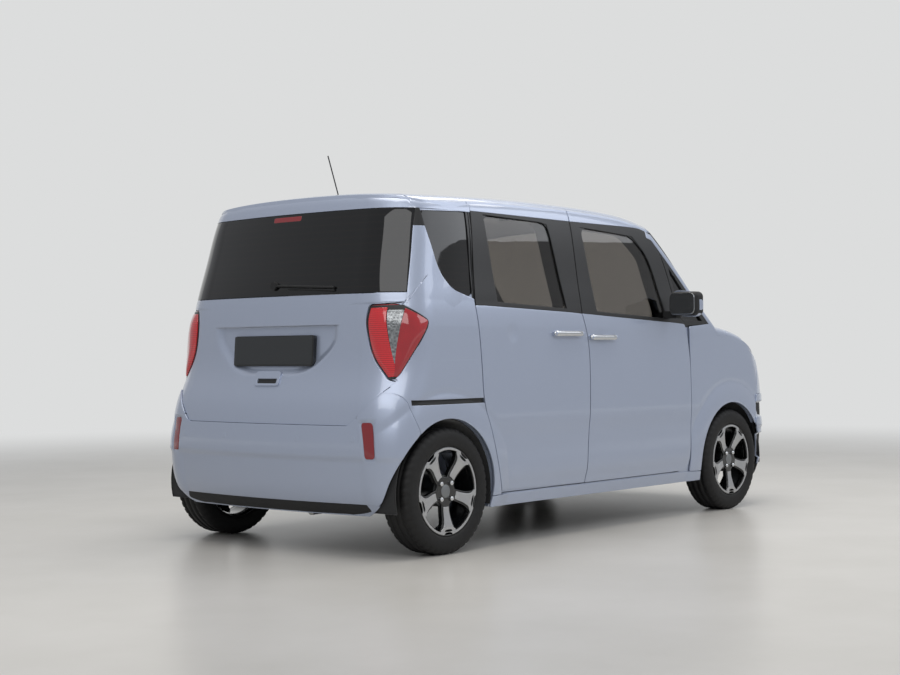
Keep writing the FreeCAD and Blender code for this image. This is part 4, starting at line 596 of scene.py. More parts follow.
def bumped(tree, shader, height, strength, distance):
    """Makes a texture's output a bump in the surface, of a real depth."""
    bump = add(tree, "ShaderNodeBump", {"Strength": strength, "Distance": distance}, {"Height": height})
    tree.links.new(bump.outputs["Normal"], shader.inputs["Normal"])


def grained(name, colour, roughness, scale, strength, distance, detail=3.0, **sockets):
    """A finish with fine grain: a bump from a noise of so many waves a metre."""
    material, tree, shader = finish(name, colour, roughness, **sockets)
    noise = texture(tree, "Noise", {"Scale": scale, "Detail": detail})
    bumped(tree, shader, noise.outputs["Fac"], strength, distance)
    return material


FLAKES_PER_METRE, FLAKE_TONES = 900.0, ("a2adc3", "b1bbd0")
paint, paint_tree, paint_shader = finish("ice blue metallic lacquer", "a9b4ca", 0.34, Metallic=0.42,
                                         Coat_Weight=1.0, Coat_Roughness=0.025, Coat_IOR=1.5)
flake = texture(paint_tree, "Voronoi", {"Scale": FLAKES_PER_METRE})
toned(paint_tree, paint_shader, flake.outputs["Distance"], *FLAKE_TONES)
bumped(paint_tree, paint_shader, flake.outputs["Distance"], 0.03, 0.0004)

# Door frames, pillars and window surrounds: satin black paint and film over the same steel. It gives
# a dark, evenly dull band round the glass, with a trace of orange peel.
satin_black = grained("satin black film", "111214", 0.45, 1400.0, 0.05, 0.0003, detail=2.0,
                      Coat_Weight=0.15, Coat_Roughness=0.25)


# Front doors: a pressed outer sheet below the window, a black frame round it and a painted strip
# above, hemmed over the inner frame and hung at their front edge.
def at(share, high_share, reach=0.0):
    """A corner in the side view from a share of the wheelbase and a share of the height."""
    return (REAR_AXLE + share * BASE, high_share * HEIGHT, reach)


ALONG_SIDE = slice(250, 1400)


def over_rim(turn, share):
    """The height value a share of the way over the rolled edge, at a turn."""
    return np.interp(turn, TURNS, RIM[:, 0]) + share * np.interp(turn, TURNS, RIM[:, 1])


def edge_high(x, share):
    """The height value a share of the way over the rolled edge, at a place along the side."""
    return over_rim(np.interp(x, RIM[ALONG_SIDE, 2], TURNS[ALONG_SIDE]), share)


def edge_line(first, last, share, count=40):
    """A line along the rolled edge between two places along the side."""
    x = np.linspace(first, last, count)
    return placed(x, edge_high(x, share))


BELT_X = np.array([-1.06, -0.434, 0.228, 0.541, 0.863])
BELT_HIGH = np.array([1.156, 1.135, 1.104, 1.091, 1.072])
STRIP_DROP, DOOR_TOP_SHARE, FRAME_LIFT = 0.017, 0.62, 0.0035


def belt(first, last, count=40):
    """The painted panel's upper edge under the windows, between two places along the side."""
    x = np.linspace(first, last, count)
    return placed(x, np.interp(x, BELT_X, BELT_HIGH) - STRIP_DROP)


def straight(start, end, count=30):
    """A straight line between two ends given as girths and heights."""
    return np.asarray(start) + np.linspace(0, 1, count)[:, None] * (np.asarray(end) - np.asarray(start))


FRONT_DOOR_REAR = [at(0.4310, 0.149), at(0.4405, 0.335, 0.10), at(0.4460, 0.553, 0.12), at(0.4258, 0.655)]
FRONT_DOOR_FRONT = [at(0.780, 0.149), at(0.818, 0.149, 0.06), at(0.826, 0.205, 0.06),
                    at(0.826, 0.525, 0.10), at(0.812, 0.618, 0.03), at(0.808, 0.6305)]
FRAME_FRONT = [at(0.808, 0.6205), at(0.785, 0.665, 0.04), at(0.7545, 0.843, 0.15), at(0.700, 0.9335)]
FRONT_TOP = [at(0.700, 0.9335), at(0.560, 0.9325, 0.2), at(0.4258, 0.9320)]


def side_corners(corners, first=False, last=False):
    """Corners in the side view, with an end moved up or down onto the belt where asked."""
    corners = [list(c) for c in corners]
    for end, wanted in ((0, first), (-1, last)):
        if wanted:
            corners[end][1] = float(np.interp(corners[end][0], BELT_X, BELT_HIGH) - STRIP_DROP)
    return corners


SIDES = ((-1, "right"), (1, "left"))
front_rear_x, front_front_x = FRONT_DOOR_REAR[-1][0], FRONT_DOOR_FRONT[-1][0]
front_belt = belt(front_rear_x, front_front_x)
front_top_edge = edge_line(front_rear_x, FRONT_TOP[0][0], DOOR_TOP_SHARE)
front_low = patch(side_line([at(0.431, 0.149), at(0.780, 0.149)]), front_belt,
                  side_line(side_corners(FRONT_DOOR_REAR, last=True)),
                  side_line(side_corners(FRONT_DOOR_FRONT, last=True)), 90, 110)
front_ring = ring_between(
    [front_belt, side_line(side_corners(FRAME_FRONT, first=True)), side_line(FRONT_TOP),
     side_line([at(0.4258, 0.932), (front_rear_x, float(front_belt[0, 1]))])],
    [side_line([at(0.478, 0.661), at(0.738, 0.644)]),
     side_line([at(0.738, 0.644), at(0.700, 0.835, 0.12), at(0.645, 0.903)]),
     side_line([at(0.645, 0.903), at(0.600, 0.9065, 0.06), at(0.458, 0.917)]),
     side_line([at(0.458, 0.917), at(0.478, 0.661)])],
    [60, 60, 50, 40], 12)
front_band = patch(side_line(FRONT_TOP[::-1]), front_top_edge,
                   straight(placed(*FRONT_TOP[-1][:2]), front_top_edge[0]),
                   straight(placed(*FRONT_TOP[0][:2]), front_top_edge[-1]), 14, 70)
for hand, side in SIDES:
    carrier = "door_front_" + side
    pressed("front_door_panel_" + side, front_low, hand, paint, carrier, hem_shape=HEM * THIN_HEM)
    pressed("front_door_frame_" + side, front_ring, hand, satin_black, carrier, closed=True,
            lift=FRAME_LIFT)
    pressed("front_door_top_" + side, front_band, hand, paint, carrier)

# Sliding door and left rear door: the same build as the front doors. The right one runs back on
# rails in sill, roof and quarter panel, the left one is hinged at the middle pillar.
SLIDE_REAR = [at(0.158, 0.155), at(0.146, 0.210, 0.06), at(0.117, 0.355, 0.12), at(0.103, 0.412, 0.08),
              at(0.101, 0.530, 0.2), at(0.0915, 0.672)]
SLIDE_FRONT = [at(0.4290, 0.149), at(0.4385, 0.335, 0.10), at(0.4440, 0.553, 0.12), at(0.4238, 0.655)]
REAR_DOOR_REAR = [at(0.235, 0.149), at(0.195, 0.165, 0.05), at(0.155, 0.215, 0.10), at(0.120, 0.355, 0.12),
                  at(0.103, 0.412, 0.08), at(0.101, 0.530, 0.2), at(0.0915, 0.672)]
slide_rear_x, slide_front_x = SLIDE_REAR[-1][0], SLIDE_FRONT[-1][0]
SLIDE_TOP_REAR, SLIDE_TOP_FRONT = at(0.112, 0.9345), at(0.4238, 0.932)
slide_belt = belt(slide_rear_x, slide_front_x)
slide_ring = ring_between(
    [slide_belt, side_line([(slide_front_x, float(slide_belt[-1, 1])), SLIDE_TOP_FRONT]),
     side_line([SLIDE_TOP_FRONT, SLIDE_TOP_REAR]),
     side_line(side_corners([SLIDE_TOP_REAR, SLIDE_REAR[-1]], last=True))],
    [side_line([at(0.158, 0.681), at(0.375, 0.667)]),
     side_line([at(0.375, 0.667), at(0.350, 0.880, 0.02), at(0.3440, 0.9150)]),
     side_line([at(0.344, 0.915), at(0.325, 0.9205, 0.02), at(0.147, 0.9275)]),
     side_line([at(0.147, 0.9275), at(0.158, 0.681)])],
    [60, 50, 60, 50], 12)
top_line = edge_line(SLIDE_TOP_REAR[0], slide_front_x, DOOR_TOP_SHARE)
slide_band = patch(side_line([SLIDE_TOP_REAR, SLIDE_TOP_FRONT]), top_line,
                   straight(placed(*SLIDE_TOP_REAR[:2]), top_line[0]),
                   straight(placed(*SLIDE_TOP_FRONT[:2]), top_line[-1]), 14, 80)
for name, hand, carrier, rear_edge, foot in (("slide_door", -1, "body", SLIDE_REAR, 0.158),
                                             ("rear_door", 1, "door_rear_left", REAR_DOOR_REAR, 0.235)):
    low = patch(side_line([at(foot, rear_edge[0][1] / HEIGHT), at(0.429, 0.149)]), slide_belt,
                side_line(side_corners(rear_edge, last=True)),
                side_line(side_corners(SLIDE_FRONT, last=True)), 90, 110)
    pressed(name + "_panel", low, hand, paint, carrier)
    pressed(name + "_frame", slide_ring, hand, satin_black, carrier, closed=True, lift=FRAME_LIFT)
    pressed(name + "_top", slide_band, hand, paint, carrier)

# Roof: one pressing from the tailgate's seam to the windscreen, whose edges roll over to the doors.
TAIL_SEAM_X = REAR_AXLE - 0.20 * REAR_OVERHANG
SEAM = 0.0025


def on_top(x, y, lift=LIFT):
    """Points and outward directions of a sheet a lift above roof, windscreen or bonnet, from x and y."""
    out = np.stack([top(x - SLOPE_STEP, y) - top(x + SLOPE_STEP, y),
                    top(x, y - SLOPE_STEP) - top(x, y + SLOPE_STEP), np.full_like(x, 2 * SLOPE_STEP)],
                   axis=-1)
    out /= np.linalg.norm(out, axis=-1, keepdims=True)
    return np.stack([x, y, top(x, y)], axis=-1) + lift * out, out


def over_edge(x, edge_rows, low, inner):
    """Left-hand rows of a sheet that comes up the wall, rolls over the edge and runs inwards.

    x: the place along the car of each row and column. low: the first row's height value at an x.
    inner: the last row's distance from the centre line at an x.
    """
    v = np.linspace(0, 1, edge_rows)[:, None]
    edge_x = x[:edge_rows]
    high = (1 - v) * low(edge_x) + v * edge_high(edge_x, 1.0)
    girth = girth_at(0, edge_x, high)
    points, out = on_skin(girth, high, 1)
    top_x = x[edge_rows:]
    start = on_body(girth_at(0, top_x, edge_high(top_x, 1.0)), edge_high(top_x, 1.0))[..., 1]
    v = np.linspace(0, 1, len(top_x) + 1)[1:, None]
    top_points, top_out = on_top(top_x, start + v * (inner(top_x) - start))
    return np.concatenate([points, top_points]), np.concatenate([out, top_out])


MIRROR = np.array([1, -1, 1])


def both_halves(points, out):
    """A left-hand grid whose last row is on the centre line, joined to its own mirror image."""
    return np.concatenate([points, points[-2::-1] * MIRROR]), np.concatenate([out, out[-2::-1] * MIRROR])


ROOF_FRONT_X, PILLAR_TOP_X = at(0.733, 0)[0], at(0.700, 0)[0]
roof_length = ROOF_FRONT_X - SEAM - TAIL_SEAM_X - SEAM
roof_x = TAIL_SEAM_X + SEAM + np.linspace(0, 1, 130)[None] * roof_length * np.ones((50, 1))
roof_half = over_edge(roof_x, 8, lambda x: edge_high(x, DOOR_TOP_SHARE), lambda x: 0 * x)
pressed("roof_panel", None, 1, paint, "body", shape=both_halves(*roof_half), gap=0.0012,
        hem_shape=HEM * THIN_HEM)


# Windscreen pillars: painted outer strips from the roof's front corners down to the bonnet, beside the
# windscreen. They roll over the edge, and the film on the small front windows starts below them.
def screen_side(x):
    """The windscreen's half width, which grows evenly from its top corner to its foot."""
    share = (x - REAR_AXLE) / BASE
    return HALF * (SCREEN_HALF + SCREEN_SPREAD * (share - SCREEN_FROM) / SCREEN_RUN) + 0.006


def on_side(shape, hand):
    """The points and outs of a left-hand sheet, on the side asked for."""
    return shape[0] * [1, hand, 1], shape[1] * [1, hand, 1]


SCREEN_HALF, SCREEN_SPREAD, SCREEN_FROM, SCREEN_RUN = 0.770, 0.09, 0.700, 0.255
PILLAR_FOOT_X = at(0.986, 0)[0]
row_start = np.where(np.arange(16) < 5, PILLAR_TOP_X + SEAM, ROOF_FRONT_X + SEAM)[:, None]
pillar_x = row_start + np.linspace(0, 1, 70)[None] * (PILLAR_FOOT_X - row_start)
pillar_grid = over_edge(pillar_x, 10, lambda x: edge_high(x, 0.0) - 0.012, screen_side)
for hand, side in SIDES:
    pressed("pillar_strip_" + side, None, hand, paint, "body", shape=on_side(pillar_grid, hand), gap=0.001)


# Front quarter: satin black surround of the small fixed window between door and windscreen pillar.
def pillar_line(first, last, count=40):
    """The film's upper edge, just below the painted pillar strip."""
    x = np.linspace(first, last, count)
    return placed(x, edge_high(x, 0.0) - 0.0125)


DOOR_CLEAR = 0.0022
PILLAR_BASE_X = 0.985
quarter_rear = [at(0.808 + DOOR_CLEAR, 0.6205), at(0.785 + DOOR_CLEAR, 0.665, 0.04),
                at(0.7545 + DOOR_CLEAR, 0.843, 0.15), at(0.702, 0.9335)]
base_high = float(np.interp(PILLAR_BASE_X, *np.transpose([at(0.828, 0.6190)[:2], at(0.987, 0.6370)[:2]])))
pillar_foot, pillar_head = at(0.885, 0.6375), at(0.774, 0.812)
front_quarter_ring = ring_between(
    [side_line([at(0.8102, 0.6205), (PILLAR_BASE_X, base_high)], 30),
     pillar_line(PILLAR_BASE_X, PILLAR_TOP_X + SEAM), side_line(quarter_rear[::-1])],
    [side_line([at(0.801, 0.643), pillar_foot], 30), side_line([pillar_foot, pillar_head]),
     side_line([pillar_head, at(0.801, 0.643)])], [40, 70, 60], 10)
for hand, side in SIDES:
    pressed("front_quarter_frame_" + side, front_quarter_ring, hand, satin_black, "body", closed=True,
            lift=0.003)


# Rear quarter panels: one large pressing behind each rear door, from sill to roof, with the wheel
# arch, the window's corner and, on the right, the black channel that the sliding door's rail lies in.
def behind(share, high_share, reach=0.0):
    """A corner in the view from behind, from a share of the half width and a share of the height."""
    return (share * HALF, high_share * HEIGHT, reach)


def joined(*lines):
    """Lines end to end as one."""
    return np.concatenate([lines[0]] + [line[1:] for line in lines[1:]])


def arch_line(axle, first, last, count=60):
    """The wheel arch's lip between two angles, in degrees up from straight ahead."""
    angle = np.radians(np.linspace(first, last, count))
    return placed(axle + ARCH_RADIUS * np.cos(angle), HUB_HIGH + ARCH_RADIUS * np.sin(angle))


PANEL_LINE, RAIL_TOP, RAIL_FOOT, SILL_TOP = 0.5218, 0.4165, 0.4030, 0.1462
door_side = rounded([(x - DOOR_CLEAR * BASE, z, reach) for x, z, reach in SLIDE_REAR], 300)


def side_edge(line, low, high, clear=0.0, count=50, axis=0):
    """A part of a line between two shares of the height, moved ahead by a clearance. axis: see placed."""
    z = np.linspace(low, high, count) * HEIGHT
    return placed(np.interp(z, line[:, 1], line[:, 0]) + clear, z, axis)


def door_edge(low, high, count=50):
    """The body's edge behind the rear door between two shares of the height."""
    return side_edge(door_side, low, high, count=count)


SIDE_OF_TAILGATE = rounded([behind(0.900, 0.6720), behind(0.880, 0.760, 0.15), behind(0.8398, 0.931)], 100)
BAND_LOW, BAND_TOP = 0.8824, 0.9312
gate_band = side_edge(SIDE_OF_TAILGATE, BAND_LOW, BAND_TOP, count=30, axis=1)
gate_side = side_edge(SIDE_OF_TAILGATE, 0.6705, BAND_LOW, count=30, axis=1)
LAMP_FOOT, LAMP_TOP, SHUT_TOP, SHUT_FOOT, SHUT_HALF = 0.4728, 0.6700, 0.4355, 0.3283, 0.0015
LAMP_EDGE = rounded([at(-0.1050, LAMP_FOOT), at(-0.0975, 0.4830, 0.02), at(-0.0445, 0.6080, 0.02),
                     at(-0.0410, 0.6270, 0.02), at(-0.085, LAMP_TOP)], 200)
BUMPER_SHUT = rounded([at(-0.0766, SHUT_FOOT), at(-0.0905, 0.3700, 0.05), at(-0.0985, 0.4175, 0.03),
                       at(-0.1120, 0.4335, 0.02), at(-0.1240, SHUT_TOP)], 200)
lamp_front = side_edge(LAMP_EDGE, PANEL_LINE, LAMP_TOP, SHUT_HALF)
panel_rear = (float(np.interp(PANEL_LINE * HEIGHT, LAMP_EDGE[:, 1], LAMP_EDGE[:, 0])) + SHUT_HALF,
              PANEL_LINE * HEIGHT)
upper_outer = joined(side_line([at(0.0987, PANEL_LINE), panel_rear]), lamp_front,
                     straight(lamp_front[-1], gate_side[0]), gate_side)
window_edge = side_line([at(0.0893, 0.6880), at(0.030, 0.712, 0.05), at(0.000, 0.760, 0.07),
                         at(-0.016, 0.850, 0.10), at(-0.0205, BAND_LOW)], 120)
quarter_upper = patch(upper_outer, window_edge, door_edge(PANEL_LINE, 0.688),
                      straight(upper_outer[-1], window_edge[-1]), 60, 130)
black_corner = patch(straight(window_edge[-1], gate_band[0]),
                     straight(placed(*at(-0.0235, BAND_TOP)[:2]), gate_band[-1]),
                     side_line([at(-0.0205, BAND_LOW), at(-0.0235, BAND_TOP)]), gate_band, 20, 40)
seam_turn_high = 1.600
seam_girth = float(girth_at(0, TAIL_SEAM_X - SEAM, seam_turn_high))
strip_front_x = SLIDE_TOP_REAR[0] - DOOR_CLEAR * BASE
strip_low = straight(placed(strip_front_x, BAND_TOP * HEIGHT), gate_band[-1])
strip_end = float(girth_at(0, TAIL_SEAM_X + SEAM, edge_high(TAIL_SEAM_X, DOOR_TOP_SHARE)))
strip_girths = np.linspace(strip_low[0, 0], strip_end, 40)
strip_turns = np.interp(strip_girths, GIRTHS, TURNS)
strip_high = np.stack([strip_girths, over_rim(strip_turns, DOOR_TOP_SHARE)], axis=-1)
quarter_strip = patch(strip_low, strip_high, straight(strip_low[0], strip_high[0]),
                      joined(straight(strip_low[-1], (seam_girth, seam_turn_high)),
                             straight((seam_girth, seam_turn_high), strip_high[-1])), 14, 60)

middle_right = tail_line([behind(0.853, 0.4368), behind(0.905, 0.4640, 0.01), behind(0.8995, 0.4665)], 20)
lamp_below = side_edge(LAMP_EDGE, PANEL_LINE, LAMP_FOOT, SHUT_HALF)
middle_top = joined(side_line([at(0.0990, PANEL_LINE), panel_rear]), lamp_below,
                    straight(lamp_below[-1], middle_right[-1], 10))


def middle_panel(foot):
    """The quarter's sheet between the panel line and a foot at a share of the height."""
    climb = side_edge(BUMPER_SHUT, foot, SHUT_TOP, SHUT_HALF, 20)
    start = straight(door_edge(foot, PANEL_LINE)[0], climb[0], 60)
    low = joined(start, climb, straight(climb[-1], middle_right[0], 20))
    return patch(low, middle_top, door_edge(foot, PANEL_LINE), middle_right, 30, 130)


RAIL_SEAM, ARCH_START = RAIL_FOOT - 0.0012, 0.3360
bumper_end = side_edge(BUMPER_SHUT, RAIL_SEAM, ARCH_START, SHUT_HALF, 20)
arch_end = side_edge(BUMPER_SHUT, ARCH_START, SHUT_FOOT, SHUT_HALF, 8)
door_low = door_edge(SILL_TOP, RAIL_SEAM, 60)
lower_outer = joined(door_low, straight(door_low[-1], bumper_end[0], 50), bumper_end)
lower_arch = arch_line(REAR_AXLE, -6.8, 125.6, 100)
lower_arch[-1] = arch_end[-1]
quarter_low = patch(lower_outer, lower_arch, straight(lower_outer[0], lower_arch[0]), arch_end, 26, 150)
RAIL_DEEP, RAIL_WALL = 0.0095, 0.12
from_edge = np.minimum(np.linspace(0, 1, 12), np.linspace(1, 0, 12))
groove_depth = FRAME_LIFT - RAIL_DEEP * np.clip(from_edge / RAIL_WALL, 0, 1)[:, None]
RAIL_START, RAIL_END, RAIL_HEAD = 0.1015, -0.091, RAIL_TOP - 0.0012
rail_close = side_line([at(RAIL_END, RAIL_FOOT), at(RAIL_END, RAIL_HEAD)])
groove = patch(side_line([at(RAIL_START, RAIL_FOOT), at(RAIL_END, RAIL_FOOT)]),
               side_line([at(RAIL_START, RAIL_HEAD), at(RAIL_END, RAIL_HEAD)]),
               door_edge(RAIL_FOOT, RAIL_HEAD), rail_close, 12, 80)
groove_stop = side_line([at(-0.0915, RAIL_SEAM), at(-0.0915, RAIL_TOP)], 10)
shut_stop = side_edge(BUMPER_SHUT, RAIL_SEAM, RAIL_TOP, SHUT_HALF, 10)
groove_end = patch(straight(groove_stop[0], shut_stop[0]), straight(groove_stop[-1], shut_stop[-1]),
                   groove_stop, shut_stop, 8, 10)
SEAM_FLUSH = 0.0006
FLAP_MIDDLE, FLAP_HOLE, FLAP_RADIUS = np.array([-1.4179, 0.952]), 0.0850, 0.0828
for hand, side in SIDES:
    hole = (FLAP_MIDDLE, FLAP_HOLE) if hand > 0 else None
    pressed("quarter_upper_" + side, quarter_upper, hand, paint, "body", flush=((0, 1),), hole=hole)
    pressed("quarter_middle_" + side, middle_panel(RAIL_TOP if hand < 0 else RAIL_SEAM), hand, paint,
            "body", flush=((0, 1), (0, -1)), hole=hole)
    pressed("quarter_lower_" + side, quarter_low, hand, paint, "body", gap=SEAM_FLUSH)
    pressed("quarter_corner_" + side, black_corner, hand, satin_black, "body", lift=0.0035, gap=SEAM_FLUSH)
    pressed("quarter_strip_" + side, quarter_strip, hand, paint, "body", gap=SEAM_FLUSH)


def full_turn(count):
    """A row of angles spread evenly round a full circle."""
    return np.linspace(0, 2 * math.pi, count, endpoint=False)[None]


turn_round = full_turn(96)
flap_reach = np.linspace(0.0, FLAP_RADIUS, 14)[:, None]
flap_grid = placed(FLAP_MIDDLE[0] + flap_reach * np.cos(turn_round),
                   FLAP_MIDDLE[1] + flap_reach * np.sin(turn_round))
pressed("fuel_flap_skin", flap_grid, 1, paint, "fuel_flap", closed=True, gap=0.0, hem_shape=HEM * THIN_HEM)
pressed("rail_channel", groove, -1, satin_black, "body", lift=groove_depth, gap=0.0)
pressed("rail_channel_end", groove_end, -1, paint, "body", gap=0.0)

# Sills: painted box sections under the doors, from wheel arch to wheel arch.
SILL_FOOT, SILL_IN, SILL_OUT, SILL_HIGH = 0.188, 0.3290, 0.3205, SILL_TOP * HEIGHT - 0.0035
sill_low = side_line([(REAR_AXLE + SILL_OUT, SILL_FOOT), (FRONT_AXLE - SILL_OUT, SILL_FOOT)], 80)
sill_top = side_line([(REAR_AXLE + SILL_IN, SILL_HIGH), (FRONT_AXLE - SILL_IN, SILL_HIGH)], 80)
sill = patch(sill_low, sill_top, straight(sill_low[0], sill_top[0]), straight(sill_low[-1], sill_top[-1]),
             12, 120)
for hand, side in SIDES:
    pressed("sill_" + side, sill, hand, paint, "body")


# Front wings: bolted sheets from the door to the bumper, rolled over to the bonnet's seam.
BONNET_SIDE_X = np.array([0.955, 0.990, 1.090, 1.150, 1.206])
BONNET_SIDE_Y = np.array([0.862, 0.848, 0.803, 0.643, 0.563])


def bonnet_side(x):
    """The bonnet's half width at a place along the car."""
    return HALF * np.interp((x - REAR_AXLE) / BASE, BONNET_SIDE_X, BONNET_SIDE_Y)


belt_to_screen = side_line([at(0.8285, 0.6190), at(0.985, 0.6368)], 40)
edge_to_lamp = edge_line(at(0.985, 0)[0], at(1.060, 0)[0], 0.0, 40)
wing_top_line = joined(belt_to_screen, straight(belt_to_screen[-1], edge_to_lamp[0], 6), edge_to_lamp)
lamp_rear = side_line([at(1.060, float(edge_to_lamp[-1, 1]) / HEIGHT), at(1.130, 0.510, 0.03),
                       at(1.115, 0.387)], 60)
bumper_meet = side_line([at(1.115, 0.387), at(1.1066, 0.302)], 20)
wing_outer = joined(side_line([at(0.8285, SILL_TOP), at(0.8285, 0.6190)], 60), wing_top_line, lamp_rear,
                    bumper_meet)
wing_arch = arch_line(FRONT_AXLE, 186.8, 37.2, 120)
wing = patch(wing_outer, wing_arch, straight(wing_outer[0], wing_arch[0]),
             side_line([at(1.1066, 0.302), at(1.1046, 0.2875)], 8), 40, 170)
WING_TOP_START, WING_TOP_END = at(0.9875, 0)[0], at(1.060, 0)[0]
wing_top_x = np.linspace(WING_TOP_START, WING_TOP_END, 50)[None] * np.ones((16, 1))
wing_top = over_edge(wing_top_x, 8, lambda x: edge_high(x, 0.0), bonnet_side)
for hand, side in SIDES:
    pressed("wing_panel_" + side, wing, hand, paint, "body", gap=SEAM_FLUSH)
    pressed("wing_top_" + side, None, hand, paint, "body", shape=on_side(wing_top, hand), gap=0.0018,
            flush=((0, 1),))

# Tailgate: one pressed outer sheet below the glass, drawn in round the number plate under a sharp
# ledge, and a painted strip above the glass. Both are hemmed over a frame that hangs from the roof.
GATE_EDGE = [behind(0.690, 0.3500), behind(0.905, 0.4640, 0.012), behind(0.862, 0.4690, 0.012),
             behind(0.752, 0.535, 0.10), behind(0.712, 0.620, 0.10), behind(0.7285, 0.6695, 0.02),
             behind(0.9000, 0.6760, 0.01), behind(0.8990, 0.7000)]
LEDGE_HIGH, GLASS_FOOT, GLASS_TOP = 1.0500, 1.1915, 1.5800
RECESS_EDGE = [behind(0, 0.478), behind(0.30, 0.478, 0.10), behind(0.52, 0.56, 0.10), behind(0.53, 0.619)]
RECESS_DEEP, RECESS_ROUND = 0.022, 0.045
gate_edge = rounded(GATE_EDGE, 170)
recess_edge = rounded(RECESS_EDGE, 90)


def tail_half(high, half_width, columns):
    """A left-hand grid across the tail, from the side to the centre line: girths and heights."""
    y = np.linspace(1, 0, columns)[:, None] * half_width[None]
    return placed(y, high[None] * np.ones_like(y), 1)


def recess_depth(y, z):
    """How deep the plate's recess is: it falls away smoothly from its outline, and ends under the ledge."""
    away = np.min(np.hypot(y[..., None] - recess_edge[:, 0], z[..., None] - recess_edge[:, 1]), axis=-1)
    foot = recess_edge[0, 1]
    inside = (y < np.interp(z, recess_edge[:, 1], recess_edge[:, 0])) & (z > foot) & (z < LEDGE_HIGH)
    return RECESS_DEEP * softened(np.clip(away / RECESS_ROUND, 0, 1) * inside)


LEDGE_HALF, ROW_LEAST = 0.0004, 0.00045
gate_high = gate_edge[:, 1]
off_ledge = gate_high[np.abs(gate_high - LEDGE_HIGH) > 0.003]
ledge_rows = [LEDGE_HIGH - LEDGE_HALF, LEDGE_HIGH + LEDGE_HALF]
gate_high = np.unique(np.round(np.concatenate([off_ledge, ledge_rows]), 6))
gate_high = gate_high[np.concatenate([[True], np.diff(gate_high) > ROW_LEAST])]
gate_grid = tail_half(gate_high, np.interp(gate_high, gate_edge[:, 1], gate_edge[:, 0]), 80)
gate_points, gate_out = on_skin(gate_grid[..., 0], gate_grid[..., 1], 1, 0.0)
gate_depth = recess_depth(gate_points[..., 1], gate_points[..., 2])
gate_points = gate_points + gate_out * (LIFT - gate_depth)[..., None]
pressed("tailgate_panel", None, 1, paint, "tailgate", shape=both_halves(gate_points, gate_out), gap=0.0030)

band_head = BAND_TOP * HEIGHT
GLASS_CLEAR = 0.003
band_high = np.concatenate([np.linspace(GLASS_TOP + GLASS_CLEAR, band_head, 6),
                            np.linspace(band_head, seam_turn_high, 5)[1:]])
band_girth_end = np.concatenate([np.interp(band_high[:6], gate_band[:, 1], gate_band[:, 0]),
                                 np.linspace(gate_band[-1, 0], seam_girth, 5)[1:]])
band_share = np.linspace(1, 0, 70)[:, None]
band_girth = band_share * band_girth_end[None]
band_z = band_high[None] * np.ones_like(band_girth)
seam_goal = search(np.full(70, seam_turn_high), np.full(70, 1.78),
                   lambda z: on_body(band_share[:, 0] * seam_girth, z)[..., 0] - (TAIL_SEAM_X - SEAM))
over_share = np.linspace(0, 1, 12)[None, 1:]
over_girth = band_share * seam_girth * np.ones_like(over_share)
over_z = seam_turn_high + over_share * (seam_goal[:, None] - seam_turn_high)
over_girth[0], over_z[0] = seam_girth, seam_turn_high + over_share[0] * 0.0005
band_points = on_skin(np.concatenate([band_girth, over_girth], axis=1),
                      np.concatenate([band_z, over_z], axis=1), 1)
pressed("tailgate_top", None, 1, paint, "tailgate", shape=both_halves(*band_points), gap=0.0012,
        hem_shape=HEM * THIN_HEM)

# Rear bumper: one moulded plastic skin in body colour across the tail, from wheel arch to wheel arch,
# clipped under the tailgate. It stands proud above a soft step, and a painted skirt closes it below.
BUMPER_FOOT, STEP_HIGH, STEP_TOP, STEP_STAND = 0.2452, 0.432, 0.462, 0.008
STEP_FROM_X, STEP_FULL_X = -1.63, -1.70
side_run = side_edge(BUMPER_SHUT, SHUT_TOP, SHUT_FOOT, -SHUT_HALF, 60)
gate_run = tail_line([behind(0, 0.3500), behind(0.690, 0.3500, 0.03), behind(0.853, 0.4368)], 120)
bumper_top = joined(gate_run, straight(gate_run[-1], side_run[0]), side_run)
bumper_arch = arch_line(REAR_AXLE, 187.4, 125.6)
bumper_grid = patch(straight((0.0, BUMPER_FOOT), bumper_arch[0]), bumper_top,
                    straight((0.0, BUMPER_FOOT), bumper_top[0]), bumper_arch, 62, 140)
REFLECTOR_LOW, REFLECTOR_TOP, REFLECTOR_HALF, REFLECTOR_DEEP = 0.450, 0.612, 0.030, 0.007
REFLECTOR_GIRTH, SEAT_ROUND = float(girth_at(1, 0.652, 0.53)), 0.010


def eased(value, start, end):
    """A smooth rise from 0 at start to 1 at end."""
    return softened(np.clip((value - start) / (end - start), 0, 1))


def hollow(across, high, middle, low, top_high, half, wall_run):
    """1 inside a rectangle that is half wide on each side of a middle, 0 outside, smooth between."""
    return (eased(half + wall_run - np.abs(across - middle), 0, wall_run)
            * eased(high, low - wall_run, low) * eased(top_high + wall_run - high, 0, wall_run))


bumper_x = on_body(bumper_grid[..., 0], bumper_grid[..., 1])[..., 0]
above_step = eased(bumper_grid[..., 1], STEP_HIGH, STEP_TOP)
bumper_stand = STEP_STAND * above_step * eased(-bumper_x, -STEP_FROM_X, -STEP_FULL_X)
reflector_seat = REFLECTOR_DEEP * hollow(bumper_grid[..., 0], bumper_grid[..., 1], REFLECTOR_GIRTH,
                                         REFLECTOR_LOW, REFLECTOR_TOP, REFLECTOR_HALF, SEAT_ROUND)


def from_side(grid, lift):
    """Points and outs of a left-hand grid whose first column is on the centre line, side first."""
    points, out = on_skin(grid[..., 0], grid[..., 1], 1, lift)
    return points.transpose(1, 0, 2)[::-1], out.transpose(1, 0, 2)[::-1]


pressed("rear_bumper_skin", None, 1, paint, "body",
        shape=both_halves(*from_side(bumper_grid, LIFT + bumper_stand - reflector_seat)), gap=0.0036,
        hem_shape=HEM * [2.0, 1.0])

